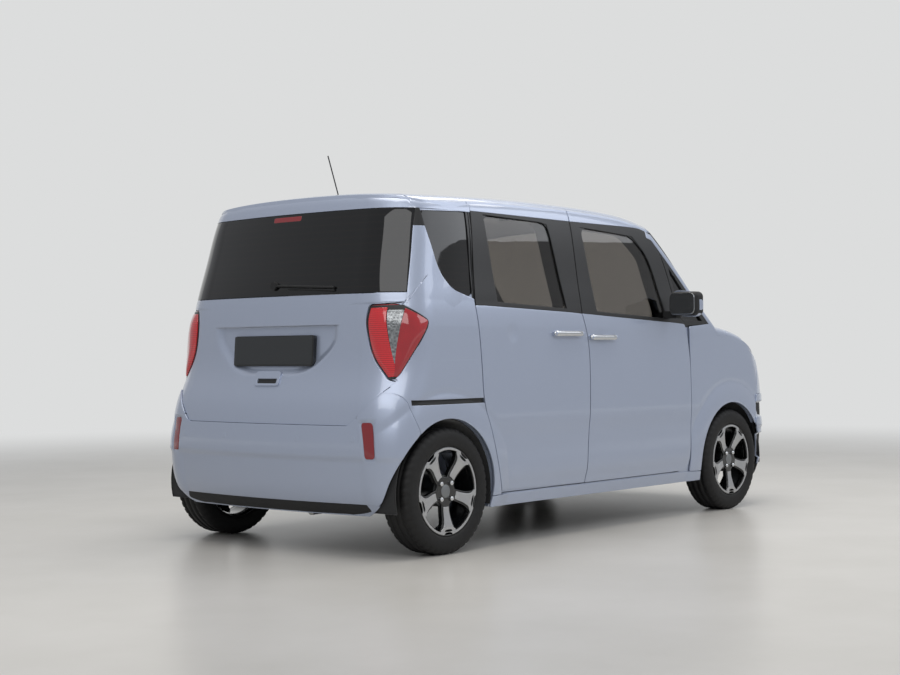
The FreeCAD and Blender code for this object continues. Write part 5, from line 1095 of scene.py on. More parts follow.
# Grained plastic: near black and dull, with a fine pebble that scatters the light.
moulded_black, moulded_tree, moulded_shader = finish("grained black polypropylene", "17181a", 0.62)
pebble = texture(moulded_tree, "Voronoi", {"Scale": 700.0})
bumped(moulded_tree, moulded_shader, pebble.outputs["Distance"], 0.25, 0.0003)
skirt_arch = arch_line(REAR_AXLE, 197.1, 187.6, 12)
skirt_foot, skirt_head = (0.0, skirt_arch[0, 1]), (0.0, skirt_arch[-1, 1])
skirt = patch(straight(skirt_foot, skirt_arch[0]), straight(skirt_head, skirt_arch[-1]),
              straight(skirt_foot, skirt_head), skirt_arch, 8, 90)
pressed("rear_skirt", None, 1, paint, "body", shape=both_halves(*from_side(skirt, 0.001)), gap=0.0)


# Reflectors and parking sensors: dark red moulded strips set into the bumper's corners, and small
# painted discs that clip in from behind.
def rounded_panel(corners, reach, rows, columns):
    """A grid that fills a four-cornered outline with rounded corners, from its first corner on."""
    spots = [np.array(corner, dtype=float) for corner in corners]
    lines, turns = [], []
    for k in range(4):
        before, here, after = spots[k - 1], spots[k], spots[(k + 1) % 4]
        lines.append(rounded([(before + here) / 2, (here[0], here[1], reach), (here + after) / 2], 81))
        turns.append(int(np.argmin(np.linalg.norm(lines[k] - here, axis=-1))))
    sides = [joined(lines[k][turns[k]:], lines[(k + 1) % 4][:turns[(k + 1) % 4] + 1]) for k in range(4)]
    return patch(sides[0], sides[2][::-1], sides[3][::-1], sides[1], rows, columns)


def rectangle(middle, low, top_high, half):
    """The corners of an upright rectangle, from the lower left on."""
    return [(middle - half, low), (middle + half, low), (middle + half, top_high),
            (middle - half, top_high)]


# Reflector plastic: deep red under gloss, whose small prisms break the light into grains.
red_dark, red_dark_tree, red_dark_shader = finish("dark red reflector plastic", "84141d", 0.12,
                                                  Coat_Weight=0.8, Coat_Roughness=0.04)
prisms = texture(red_dark_tree, "Voronoi", {"Scale": 260.0, "distance": "CHEBYCHEV"})
bumped(red_dark_tree, red_dark_shader, prisms.outputs["Distance"], 0.5, 0.0006)
reflector = rounded_panel(rectangle(REFLECTOR_GIRTH, REFLECTOR_LOW + 0.003, REFLECTOR_TOP - 0.003,
                                    REFLECTOR_HALF - 0.003), 0.018, 24, 12)
for hand, side in SIDES:
    pressed("rear_reflector_" + side, reflector, hand, red_dark, "body", lift=LIFT + STEP_STAND - 0.0035,
            gap=0.0)


def both_sides(girth, y, z, lift):
    """Points and outs at girths of the left half, each on the side of the centre line that its y is on."""
    points, out = on_skin(girth, z, 1, lift)
    mirror = np.stack([np.ones_like(y), np.where(y < 0, -1, 1), np.ones_like(y)], axis=-1)
    return points * mirror, out * mirror


def on_tail(grid, lift):
    """Points and outward directions at places (y, height) across the tail."""
    y, z = grid[..., 0], grid[..., 1]
    return both_sides(girth_at(1, np.abs(y), z), y, z, lift)


SENSOR_RADIUS, SENSOR_STAND = 0.011, 0.0007
for number, (y, z) in enumerate(((-0.573, 0.537), (-0.247, 0.533), (0.247, 0.533), (0.573, 0.537))):
    square = rectangle(y, z - SENSOR_RADIUS, z + SENSOR_RADIUS, SENSOR_RADIUS)
    disc = rounded_panel(square, SENSOR_RADIUS, 12, 12)
    pressed("parking_sensor_" + str(number + 1), None, 1, paint, "body", gap=0.0,
            shape=on_tail(disc, LIFT + STEP_STAND + SENSOR_STAND))

# Tail lamps: pillow-shaped red lenses with a clear wedge, in black housings let into the body's
# corners beside the tailgate. Moulded acrylic, screwed in from inside.
lamp_inner = tail_line([behind(0.868, 0.4715), behind(0.758, 0.535, 0.10), behind(0.718, 0.620, 0.10),
                        behind(0.735, 0.6660)], 80)
lamp_outer = side_edge(LAMP_EDGE, LAMP_FOOT + 0.001, 0.627, -SHUT_HALF, 80)
lamp_head = tail_line([behind(0.735, 0.6660), behind(0.890, 0.6672)], 20)
lamp_brow = side_edge(LAMP_EDGE, 0.6670, 0.627, -SHUT_HALF, 20)
lamp_grid = patch(straight(lamp_inner[0], lamp_outer[0]),
                  joined(lamp_head, straight(lamp_head[-1], lamp_brow[0]), lamp_brow), lamp_inner,
                  lamp_outer, 80, 70)


def within(grid, u, v):
    """Places in a grid from shares u along its rows and v up its columns, by straight blends."""
    rows, columns = grid.shape[:2]
    a, b = np.clip(v, 0, 1) * (rows - 1), np.clip(u, 0, 1) * (columns - 1)
    i, j = np.minimum(a.astype(int), rows - 2), np.minimum(b.astype(int), columns - 2)
    a, b = (a - i)[..., None], (b - j)[..., None]
    low = (1 - b) * grid[i, j] + b * grid[i, j + 1]
    return (1 - a) * low + a * ((1 - b) * grid[i + 1, j] + b * grid[i + 1, j + 1])


LENS_STAND, LENS_SEAT, LENS_EDGES = 0.018, 0.006, (0.03, 0.965)


def lens(name, hand, first, last, low, top_share, material, sunk=0.0):
    """A piece of the lens between two borders, shares of the lamp's width at each share of its height.

    The whole lens swells as a pillow: 1 - w^4 across it times 1 - h^4 up it, from -1 to 1 each.
    """
    v = np.linspace(low, top_share, 50)[:, None]
    u = first(v) + np.linspace(0, 1, 24)[None] * (last(v) - first(v))
    v = v * np.ones_like(u)
    stand = LENS_SEAT + LENS_STAND * (1 - (2 * u - 1) ** 4) * (1 - (2 * v - 1) ** 4) - sunk
    pressed(name, within(lamp_grid, u, v), hand, material, "body", lift=stand, gap=0.0)


def band_border(v):
    """The border between the lit band and the wedge: it runs out towards the wedge's point."""
    return 0.58 - 0.30 * np.clip((v - 0.20) / 0.73, 0, 1) ** 0.65


def wedge_border(v):
    """The wedge's outer border, which is nearly upright."""
    return 0.59 - 0.055 * np.clip((v - 0.20) / 0.73, 0, 1)


# Lenses: bright red with fine ribs, clear with coarse facets whose greys are painted glint, as of a bulb
# housing, and a deeper red whose tone drifts as in thick acrylic.
red_lens, red_lens_tree, red_lens_shader = finish("bright red acrylic", "c20f1a", 0.10, Coat_Weight=1.0,
                                                  Coat_Roughness=0.02, Specular_IOR_Level=0.6)
ribs = texture(red_lens_tree, "Wave", {"wave_type": "BANDS", "bands_direction": "Z", "Scale": 34.0})
toned(red_lens_tree, red_lens_shader, ribs.outputs["Fac"], "b00c17", "dc1d28")
bumped(red_lens_tree, red_lens_shader, ribs.outputs["Fac"], 0.15, 0.0008)
clear_lens, clear_tree, clear_shader = finish("clear acrylic over bulb housing", "4b5052", 0.14,
                                              Metallic=0.5, Coat_Weight=1.0, Coat_Roughness=0.02)
facets_and_glint = texture(clear_tree, "Voronoi", {"Scale": 75.0, "distance": "CHEBYCHEV"})
# Painted glint: the clear lens is dark grey in each facet's middle and light grey towards its edges.
toned(clear_tree, clear_shader, facets_and_glint.outputs["Distance"], "4b4f52", "b4b8ba")
bumped(clear_tree, clear_shader, facets_and_glint.outputs["Distance"], 0.7, 0.002)
lamp_red, lamp_red_tree, lamp_red_shader = finish("deep red acrylic", "9d0f1b", 0.08, Coat_Weight=1.0,
                                                  Coat_Roughness=0.02, Specular_IOR_Level=0.6)
depth_noise = texture(lamp_red_tree, "Noise", {"Scale": 9.0, "Detail": 1.0})
toned(lamp_red_tree, lamp_red_shader, depth_noise.outputs["Fac"], "8a0a16", "b81523")
for hand, side in SIDES:
    pressed("lamp_housing_" + side, lamp_grid, hand, satin_black, "body", lift=0.0045, gap=0.0006)
    lens("lamp_band_" + side, hand, lambda v: 0.035 + 0 * v, lambda v: band_border(v) - 0.008,
         *LENS_EDGES, red_lens)
    lens("lamp_wedge_" + side, hand, lambda v: band_border(v) + 0.008, lambda v: wedge_border(v) - 0.004,
         0.215, 0.93, clear_lens, 0.0015)
    lens("lamp_corner_" + side, hand, lambda v: wedge_border(v) + 0.006, lambda v: 0.965 + 0 * v,
         *LENS_EDGES, lamp_red)

# Rear window: dark privacy glass bonded flush into the tailgate, with fired heater lines and a high
# stop lamp at its top.
GLASS_LIFT = 0.003
glass_high = np.linspace(GLASS_FOOT + GLASS_CLEAR, GLASS_TOP, 70)
glass_half = np.interp(glass_high, SIDE_OF_TAILGATE[:, 1], SIDE_OF_TAILGATE[:, 0]) - 0.0012
window_grid = tail_half(glass_high, glass_half, 60)
# Privacy glass: almost black, mirrors sharply, and shows the heater's thin brown lines.
privacy, privacy_tree, privacy_shader = finish("dark privacy glass", "08090b", 0.03, Coat_Weight=0.45,
                                               Coat_Roughness=0.01, Specular_IOR_Level=0.35)
place = add(privacy_tree, "ShaderNodeTexCoord")
spot = add(privacy_tree, "ShaderNodeSeparateXYZ", {}, {"Vector": place.outputs["Object"]})
LINE_PITCH, LINE_SHARE = 0.033, 0.035
phase = reckoned(privacy_tree, "FRACT", reckoned(privacy_tree, "DIVIDE", spot.outputs["Z"], LINE_PITCH))
on_line = reckoned(privacy_tree, "LESS_THAN", phase, LINE_SHARE)
toned(privacy_tree, privacy_shader, on_line, "08090b", "241d19")
pressed("rear_window", None, 1, privacy, "tailgate", gap=0.0,
        shape=both_halves(*on_skin(window_grid[..., 0], window_grid[..., 1], 1, GLASS_LIFT)))
STOP_LOW, STOP_TOP, STOP_HALF, STOP_LIFT = 1.5485, 1.5695, 0.092, 0.0036
stop = rounded_panel(rectangle(0.0, STOP_LOW, STOP_TOP, STOP_HALF), 0.004, 6, 30)
pressed("stop_lamp", None, 1, red_dark, "tailgate", gap=0.0, shape=on_tail(stop, STOP_LIFT))

# Number plate place and handle: a blank dark plate in a plain black frame under the ledge, and below
# it a painted grip frame with a black slot.
PLATE_LOW, PLATE_TOP, PLATE_HALF = 0.8700, 1.0000, 0.262
DEEP_HEM = np.array([(0.0008, 0.0002), (0.0014, 0.0010), (0.0016, 0.0030), (0.0016, 0.0200)])
plate_floor = on_tail(np.array([(0.0, PLATE_LOW), (0.0, PLATE_TOP)]), LIFT - RECESS_DEEP)[0]
plate_slope = (plate_floor[1, 0] - plate_floor[0, 0]) / (plate_floor[1, 2] - plate_floor[0, 2])
plate_out = np.array([-1.0, 0.0, plate_slope]) / math.hypot(1, plate_slope)


def upright(grid, stand):
    """A flat sheet from a grid of y and height, a distance out from the plate's recess."""
    x = plate_floor[0, 0] + plate_slope * (grid[..., 1] - PLATE_LOW)
    points = np.stack([x, grid[..., 0], grid[..., 1]], axis=-1) + stand * plate_out
    return points, plate_out * np.ones_like(points)


# Plate: a dull dark enamel with a trace of orange peel, and nothing on it.
blank_plate = grained("blank dark enamelled plate", "2b2e31", 0.42, 350.0, 0.05, 0.0004, detail=2.0)
for name, margin, stand, material in (("plate_frame", 0.007, 0.013, satin_black),
                                      ("number_plate", 0.0, 0.0145, blank_plate)):
    grid = rounded_panel(rectangle(0.0, PLATE_LOW - 0.8 * margin, PLATE_TOP + 0.5 * margin,
                                   PLATE_HALF + margin), 0.006, 10, 40)
    pressed(name, None, 1, material, "tailgate", gap=0.0, shape=upright(grid, stand), hem_shape=DEEP_HEM)
GRIP_LOW, GRIP_TOP, GRIP_HALF, GRIP_STAND, SLOT_TOP, SLOT_STAND = 0.770, 0.836, 0.080, 0.011, 0.803, 0.0048
slot_half, slot_low, SLOT_LAP = GRIP_HALF - 0.013, GRIP_LOW + 0.008, 0.002


def quartered(half, low, top_high, middle, low_round, top_round):
    """A rectangle about the centre line with rounded corners, as four lines round it from its left side."""
    return [rounded(line, 40) for line in (
        [(-half, middle), (-half, low, low_round), (0, low)],
        [(0, low), (half, low, low_round), (half, middle)],
        [(half, middle), (half, top_high, top_round), (0, top_high)],
        [(0, top_high), (-half, top_high, top_round), (-half, middle)])]


grip = ring_between(quartered(GRIP_HALF, GRIP_LOW, GRIP_TOP, 0.80, 0.012, 0.012),
                    quartered(slot_half, slot_low, SLOT_TOP, 0.79, 0.008, 0.004), [24, 24, 24, 24], 10)
pressed("tailgate_grip", None, 1, paint, "tailgate", closed=True, gap=0.0, shape=on_tail(grip, GRIP_STAND),
        hem_shape=DEEP_HEM)
slot = rounded_panel(rectangle(0.0, slot_low - SLOT_LAP, SLOT_TOP + SLOT_LAP, slot_half + SLOT_LAP), 0.006,
                     8, 24)
pressed("tailgate_slot", None, 1, satin_black, "tailgate", gap=0.0, shape=on_tail(slot, SLOT_STAND))

# Front bumper and nose: moulded skins in body colour from arch to arch, with two dark openings whose
# mesh lies back in them, and a closed panel between the headlamps above.
NOSE_FROM, NOSE_SEAM = float(np.interp(3.6, TURNS, GIRTHS)), 0.387 * HEIGHT
OPENING_DEEP, OPENING_ROUND = 0.020, 0.008
LOW_OPENING, HIGH_OPENING = (0.415, 0.2805, 0.4250), (0.335, 0.5270, 0.6120)
front_arch = arch_line(FRONT_AXLE, -7.4, 37.2, 60)
arch_foot = (float(FRONT_AXLE + ARCH_RADIUS * np.cos(np.radians(37.2))) + 0.0008,
             float(front_arch[-1, 1]) + 0.002)
front_side = joined(front_arch, side_line([arch_foot, at(1.1070, 0.302), at(1.1154, 0.387)], 40))
centre_girth = float(GIRTHS[-1])
nose_foot, nose_head = (centre_girth, BUMPER_FOOT), (centre_girth, NOSE_SEAM - 0.0015)
front_grid = patch(straight(front_side[0], nose_foot, 60), straight(front_side[-1], nose_head, 60),
                   front_side, straight(nose_foot, nose_head), 60, 120)


def openings(place):
    """How deep the skin is drawn in at the two openings."""
    depth = 0.0
    for half, low, top_high in (LOW_OPENING, HIGH_OPENING):
        in_front = hollow(place[..., 1], place[..., 2], 0.0, low + OPENING_ROUND, top_high - OPENING_ROUND,
                          half - OPENING_ROUND, OPENING_ROUND)
        depth = np.maximum(depth, in_front)
    return OPENING_DEEP * depth


front_place = on_body(front_grid[..., 0], front_grid[..., 1])
NOSE_STEP_STAND, NOSE_STEP_HIGH, NOSE_STEP_TOP = 0.006, 0.455, 0.48
NOSE_STEP_FROM, NOSE_STEP_FULL = 1.46, 1.56
front_stand = (NOSE_STEP_STAND * eased(front_place[..., 2], NOSE_STEP_HIGH, NOSE_STEP_TOP)
               * eased(front_place[..., 0], NOSE_STEP_FROM, NOSE_STEP_FULL))
pressed("front_bumper_skin", None, 1, paint, "body",
        shape=both_halves(*from_side(front_grid[:, ::-1], LIFT + front_stand - openings(front_place))),
        gap=0.0012)
front_skirt_arch = arch_line(FRONT_AXLE, -17.1, -7.6, 12)
skirt_foot, skirt_head = (centre_girth, front_skirt_arch[0, 1]), (centre_girth, front_skirt_arch[-1, 1])
front_skirt = patch(straight(front_skirt_arch[0], skirt_foot), straight(front_skirt_arch[-1], skirt_head),
                    front_skirt_arch, straight(skirt_foot, skirt_head), 8, 90)
pressed("front_skirt", None, 1, moulded_black, "body",
        shape=both_halves(*from_side(front_skirt[:, ::-1], 0.001)), gap=0.0)


def on_nose(grid, lift):
    """Points and outward directions at places (y, height) across the nose."""
    y, z = grid[..., 0], grid[..., 1]
    girth = search(np.full_like(y, NOSE_FROM), np.full_like(y, centre_girth),
                   lambda g: np.abs(y) - on_body(g, z)[..., 1])
    return both_sides(girth, y, z, lift)


# Mesh: dull black plastic, with raised bars round darker cells; the cells' near black is painted shade
# in the mesh's openings.
mesh_black, mesh_tree, mesh_shader = finish("black plastic mesh", "0b0b0c", 0.55)
cells = texture(mesh_tree, "Voronoi", {"Scale": 62.0, "Randomness": 0.0, "feature": "DISTANCE_TO_EDGE"})
BAR_FROM, BAR_TO = 0.10, 0.16
bars = add(mesh_tree, "ShaderNodeMapRange",
           {"From Min": BAR_FROM, "From Max": BAR_TO, "To Min": 1.0, "To Max": 0.0},
           {"Value": cells.outputs["Distance"]})
# Painted shade: the cells are near black and the bars lighter, as if shade lay in the mesh's openings.
toned(mesh_tree, mesh_shader, bars.outputs[0], "050506", "2a2b2d")
bumped(mesh_tree, mesh_shader, bars.outputs[0], 0.8, 0.003)
for name, (half, low, top_high) in (("low_grille", LOW_OPENING), ("high_grille", HIGH_OPENING)):
    inset = 0.75 * OPENING_ROUND
    grid = rounded_panel(rectangle(0.0, low + inset, top_high - inset, half - inset), 0.012, 16, 60)
    pressed(name, None, 1, mesh_black, "body", gap=0.0, shape=on_nose(grid, LIFT - OPENING_DEEP + 0.0035))
lamp_start = side_line([at(1.1154, 0.3885), at(1.1305, 0.5075)], 30)
LAMP_INNER_Y, BONNET_NOSE = 0.3965, at(1.2065, 0)[0]


def under_lamp(girth):
    """The height value at which the body meets the headlamp's lower edge, at a girth."""
    def above(high):
        spot = on_body(girth, high)
        share = (spot[..., 0] - REAR_AXLE) / BASE
        return spot[..., 2] - HEIGHT * (0.5078 - 0.030 * (share - 1.130) / 0.130)
    return search(np.full_like(girth, 0.66), np.full_like(girth, 0.98), above)


lamp_girths = np.linspace(lamp_start[-1, 0], centre_girth, 400)
lamp_highs = under_lamp(lamp_girths)
lamp_last = int(np.argmax(on_body(lamp_girths, lamp_highs)[..., 1] < LAMP_INNER_Y))
seam_girths = np.linspace(lamp_girths[lamp_last], centre_girth, 60)
seam_highs = search(np.full_like(seam_girths, 0.74), np.full_like(seam_girths, 1.1),
                    lambda h: BONNET_NOSE - on_body(seam_girths, h)[..., 0])
nose_low = straight((lamp_start[0, 0], NOSE_SEAM + 0.0015), (centre_girth, NOSE_SEAM + 0.0015), 60)
lamp_lower_edge = np.stack([lamp_girths[:lamp_last + 1], lamp_highs[:lamp_last + 1]], axis=-1)
seam_line = np.stack([seam_girths, seam_highs], axis=-1)
nose_top = joined(lamp_lower_edge, straight(lamp_lower_edge[-1], seam_line[0], 12), seam_line)
nose_grid = patch(nose_low, nose_top, straight(nose_low[0], lamp_start[-1]),
                  straight(nose_low[-1], nose_top[-1]), 40, 130)
pressed("nose_panel", None, 1, paint, "body", shape=both_halves(*from_side(nose_grid[:, ::-1], LIFT)),
        gap=0.0012)

# Bonnet: one pressed sheet, hinged at its rear edge under the windscreen.
BONNET_REAR_Y, BONNET_REAR_X = np.array([0.300, 0.845]), np.array([1.0352, 0.9912])
bonnet_u = np.linspace(1, 0, 70)[:, None]
bonnet_rear = np.interp(bonnet_u * BONNET_REAR_Y[1], BONNET_REAR_Y, BONNET_REAR_X)
bonnet_share = bonnet_rear + np.linspace(0, 1, 90)[None] * (1.2052 - bonnet_rear)
bonnet_y = bonnet_u * HALF * (np.interp(bonnet_share, BONNET_SIDE_X, BONNET_SIDE_Y) - 0.0045)
bonnet = on_top(REAR_AXLE + BASE * bonnet_share, bonnet_y)
pressed("bonnet_skin", None, 1, paint, "bonnet", shape=both_halves(*bonnet), gap=0.0018)


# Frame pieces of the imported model: the same paint inside the shuts, sealed and coated steel below,
# tinted safety glass, cast and stamped metal, rubber and moulded plastic.
def coat(names, material):
    """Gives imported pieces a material."""
    for name in names.split():
        for material_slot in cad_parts[name].material_slots:
            material_slot.material = material


# Underbody, cast, machined and stamped metal differ by how dull and how coarse their grain is. The
# glass is faintly brown and wavy.
sealed = grained("stone-chip sealed underbody", "1b1c1d", 0.8, 220.0, 0.4, 0.001)
coated_steel = grained("black coated steel", "242628", 0.5, 500.0, 0.15, 0.0004)
cast_aluminium = grained("cast aluminium", "8d9092", 0.5, 420.0, 0.35, 0.0006, Metallic=1.0)
cast_iron = grained("machined cast iron", "6f7173", 0.35, 900.0, 0.2, 0.0003, Metallic=1.0)
bare_steel = grained("stainless steel tube", "9b9b98", 0.3, 300.0, 0.1, 0.0003, Metallic=1.0)
dash_plastic = grained("soft grained dashboard", "232427", 0.6, 800.0, 0.3, 0.0004)
tinted = grained("tinted safety glass", "a39f9a", 0.0, 2.5, 0.03, 0.004, detail=0.0,
                 Transmission_Weight=1.0, IOR=1.45)
coat("fuel_flap roof bonnet wing_right wing_left front_panel", paint)
coat("rear_bumper front_bumper cowl rear_wiper aerial mirror_right mirror_left", moulded_black)
coat("windscreen front_glass_right front_glass_left slide_glass rear_glass_left", tinted)
coat("quarter_glass tailgate_glass", privacy)
coat("tail_lamps", lamp_red)
coat("headlamps", clear_lens)
coat("floor_pan fuel_tank", sealed)
coat("front_structure front_subframe rear_axle seat_frames radiator rack_bar", coated_steel)
coat("knuckle_left knuckle_right engine", cast_aluminium)
coat("brake_disc_front_left brake_disc_front_right brake_drum_rear_left brake_drum_rear_right", cast_iron)
coat("exhaust", bare_steel)
coat("dashboard steering_wheel", dash_plastic)

# Tyres: ring treads of black rubber with three grooves round them, cut shoulders and plain sidewalls,
# fitted on the rims.
WHEEL_Y, RIM_HALF, TREAD_HALF = 0.710, 0.075, 0.084
BLOCKS, ROUND_STEPS, CUT_SHARE, CUT_DEEP, SHOULDER = 46, 184, 0.17, 0.0055, 0.058


def turned_ring(name, profile, axle, hand, material, body, cut=None, steps=ROUND_STEPS):
    """A closed profile (radius, distance out) carried round a wheel's axle.

    cut(radius, out, angle) gives how much is taken off the radius.
    """
    angle = full_turn(steps)
    radius, out = profile[:, 0][:, None] * np.ones_like(angle), profile[:, 1][:, None] * np.ones_like(angle)
    if cut is not None:
        radius = radius - cut(radius, out, angle)
    points = np.stack([axle + radius * np.cos(angle), hand * (WHEEL_Y + out),
                       HUB_HIGH + radius * np.sin(angle)], axis=-1)
    rows = len(profile)
    index = np.arange(rows * steps).reshape(rows, steps)
    faces = np.concatenate([index, index[:1]]).reshape(-1)[quads(rows + 1, steps, True)]
    piece = raw_mesh(name, points, faces, material)
    consistent(piece.data)
    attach(piece, body)
    return piece


def shoulder_cuts(radius, out, angle):
    """The cuts across the tread's shoulders: a share of every block's run, deepest at the tread's edge."""
    phase = np.mod(angle * BLOCKS / (2 * math.pi) + 0.12 * np.sign(out), 1.0)
    cut = (phase < CUT_SHARE) * eased(np.abs(out), 0.048, 0.056) * eased(radius, 0.262, 0.272)
    return CUT_DEEP * cut


GROOVE_PLACES, GROOVE_HALF, GROOVE_DEEP, TYRE_OUT = (-0.036, 0.0, 0.036), 0.0045, 0.0065, 0.288
tread_spots = [(TYRE_OUT, SHOULDER)]
for middle in GROOVE_PLACES[::-1]:
    tread_spots += [(TYRE_OUT, middle + GROOVE_HALF), (TYRE_OUT - GROOVE_DEEP, middle + GROOVE_HALF * 0.7),
                    (TYRE_OUT - GROOVE_DEEP, middle - GROOVE_HALF * 0.7), (TYRE_OUT, middle - GROOVE_HALF)]
tread_spots.append((TYRE_OUT, -SHOULDER))
wall_out = rounded([(0.2030, 0.0700), (0.2090, 0.0795, 0.006), (0.2270, 0.0832, 0.012),
                    (0.2500, TREAD_HALF, 0.02), (0.2700, 0.0800, 0.015), (0.2845, 0.0690, 0.010),
                    (TYRE_OUT, SHOULDER)], 26)
wall_in = wall_out[::-1] * [1, -1]
tyre_profile = np.concatenate([wall_out[:-1], tread_spots, wall_in[1:],
                               [(0.2020, -0.066), (0.2020, 0.066)]])
# Rubber: black turned grey by road dust, in patches.
rubber, rubber_tree, rubber_shader = finish("black tyre rubber", "1a1a1b", 0.62, Specular_IOR_Level=0.35)
dust = texture(rubber_tree, "Noise", {"Scale": 60.0, "Detail": 4.0})
toned(rubber_tree, rubber_shader, dust.outputs["Fac"], "151516", "232323")
bumped(rubber_tree, rubber_shader, dust.outputs["Fac"], 0.2, 0.0006)

# Wheels: cast alloy rims with five flared spokes. Gloss black all over, then the spokes' and lip's
# faces are turned bright on a lathe; four nuts hold each wheel, with a plain cap in the middle.
# Lacquer: deep black gloss over cast metal. Turned alloy: bright, softly streaked. Chrome: a clean mirror.
gloss_black = grained("gloss black wheel lacquer", "0c0d0e", 0.22, 260.0, 0.08, 0.0004, detail=2.0,
                      Coat_Weight=0.6, Coat_Roughness=0.08)
machined, machined_tree, machined_shader = finish("machined alloy under lacquer", "b9babb", 0.32,
                                                  Metallic=0.85, Coat_Weight=0.5, Coat_Roughness=0.05)
lathe_marks = texture(machined_tree, "Noise", {"Scale": 500.0, "Detail": 2.0})
toned(machined_tree, machined_shader, lathe_marks.outputs["Fac"], "acadaf", "c6c7c8")
chrome = grained("chromed steel", "d4d6d8", 0.08, 40.0, 0.02, 0.001, Metallic=1.0)
barrel_profile = rounded([(0.203, -0.060), (0.203, -0.075, 0.003), (0.197, -0.075, 0.003),
                          (0.185, -0.051, 0.01), (0.185, 0.051, 0.01), (0.196, 0.070, 0.003),
                          (0.1985, 0.075, 0.002), (0.2035, 0.0755, 0.003), (0.2035, 0.063),
                          (0.191, 0.051, 0.01), (0.191, -0.051, 0.01), (0.203, -0.060)], 48)[:-1]
SPOKE_RADII = np.array([0.060, 0.074, 0.100, 0.130, 0.155, 0.170, 0.180, 0.186])
SPOKE_HALVES = np.array([0.0160, 0.0160, 0.0168, 0.0195, 0.0255, 0.034, 0.046, 0.056])
SPOKES, SPOKE_START, SPOKE_END = 5, -math.pi / 2, 0.1835
LIP_RADIUS, LIP_WIDE, LIP_SWELL, NOTCH_HALF, NOTCH_DEEP = 0.1975, 0.0068, 0.006, 0.125, 0.0135
LAYERS = (("core", 0.058, 0.010, -0.0030, 2.6, 0.002, gloss_black),
          ("face", 0.074, 0.0, 0.0020, 0.5, 0.0, machined))
HUB_RADIUS, HUB_WAVE, CAP_RADIUS, CAP_STAND, CAP_CROWN = 0.066, 0.005, 0.029, 0.004, 160
NUTS, NUT_CIRCLE = 4, 0.050
DISH_DEEP, DISH_FROM, DISH_FULL = 0.013, 0.168, 0.080
NUT_RADII = np.array([0.0, 0.005, 0.0085, 0.0098])[:, None]
NUT_STANDS = np.array([0.014, 0.0138, 0.012, 0.009])[:, None]


def on_face(radius, angle, stand, axle, hand):
    """Points and outs on a wheel's outer side, which is dished towards the hub."""
    dish = DISH_DEEP * eased(-radius, -DISH_FROM, -DISH_FULL)
    points = np.stack([axle + radius * np.cos(angle), hand * (WHEEL_Y + RIM_HALF + stand - dish),
                       HUB_HIGH + radius * np.sin(angle)], axis=-1)
    return points, np.array([0, hand, 0]) * np.ones_like(points)


def lip_bounds(angle):
    """The bright lip's inner and outer radius: it bends in round a notch at every spoke's end."""
    off = np.mod((angle - SPOKE_START) * SPOKES / (2 * math.pi) + 0.5, 1) - 0.5
    notch = np.clip(1 - (off / NOTCH_HALF) ** 2, 0, 1)
    outer = LIP_RADIUS - NOTCH_DEEP * np.sqrt(notch)
    return outer - LIP_WIDE - LIP_SWELL * eased(-np.abs(off), -0.25, -0.15), outer


def face_piece(kind, wheel, radius, angle, stand, material, hem_shape, closed=True):
    """A sheet on a wheel's outer side. wheel: the name of its corner, its axle's x and its side."""
    corner, axle, hand = wheel
    pressed(kind + "_" + corner, None, 1, material, "wheel_" + corner, closed=closed, gap=0.0,
            shape=on_face(radius, angle, stand, axle, hand), hem_shape=hem_shape)


for axle_name, axle in (("front", FRONT_AXLE), ("rear", REAR_AXLE)):
    for hand, side in SIDES:
        corner = axle_name + "_" + side
        wheel, carrier = (corner, axle, hand), "wheel_" + corner
        tyre = turned_ring("tyre_tread_" + corner, tyre_profile, axle, hand, rubber, carrier, shoulder_cuts)
        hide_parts("tyre_" + corner)
        barrel = turned_ring("rim_barrel_" + corner, barrel_profile, axle, hand, gloss_black, carrier,
                             steps=112)
        for layer, start, extra, stand, deep, inset, material in LAYERS:
            for k in range(SPOKES):
                radius = np.linspace(start, SPOKE_END, 22)[:, None] * np.ones((1, 10))
                half = np.interp(radius, SPOKE_RADII, SPOKE_HALVES) + extra * eased(-radius, -0.186, -0.16)
                middle = SPOKE_START + k * 2 * math.pi / SPOKES
                angle = middle + np.linspace(-1, 1, 10)[None] * half / radius
                face_piece("spoke_%s_%d" % (layer, k + 1), wheel, radius, angle, stand, material,
                           HEM * [1.5, deep], closed=False)
            round_angle = full_turn(200) * np.ones((5, 1))
            low, high = lip_bounds(round_angle)
            ring = low + np.linspace(0, 1, 5)[:, None] * (high - low) - inset
            face_piece("lip_" + layer, wheel, ring, round_angle, stand, material, HEM * [1.0, deep])
        hub_angle = full_turn(72)
        hub_edge = HUB_RADIUS + HUB_WAVE * np.cos(SPOKES * (hub_angle - SPOKE_START))
        hub_radius = np.linspace(0.0, 1, 10)[:, None] * hub_edge
        face_piece("hub", wheel, hub_radius, hub_angle * np.ones((10, 1)), -0.0015, gloss_black,
                   HEM * [1.5, 2.2])
        cap_radius = np.linspace(0.0, CAP_RADIUS, 8)[:, None] * np.ones_like(hub_angle)
        face_piece("cap", wheel, cap_radius, hub_angle * np.ones((8, 1)),
                   CAP_STAND - CAP_CROWN * cap_radius ** 3, cast_aluminium, HEM * [1.0, 0.8])
        for k in range(NUTS):
            turn = (k + 0.5) * 2 * math.pi / NUTS
            nut_angle = full_turn(6)
            across = NUT_CIRCLE * math.cos(turn) + NUT_RADII * np.cos(nut_angle)
            high = NUT_CIRCLE * math.sin(turn) + NUT_RADII * np.sin(nut_angle)
            face_piece("nut_%d" % (k + 1), wheel, np.hypot(across, high), np.arctan2(high, across),
                       NUT_STANDS * np.ones((1, 6)), chrome, HEM)
        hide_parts("rim_" + corner)

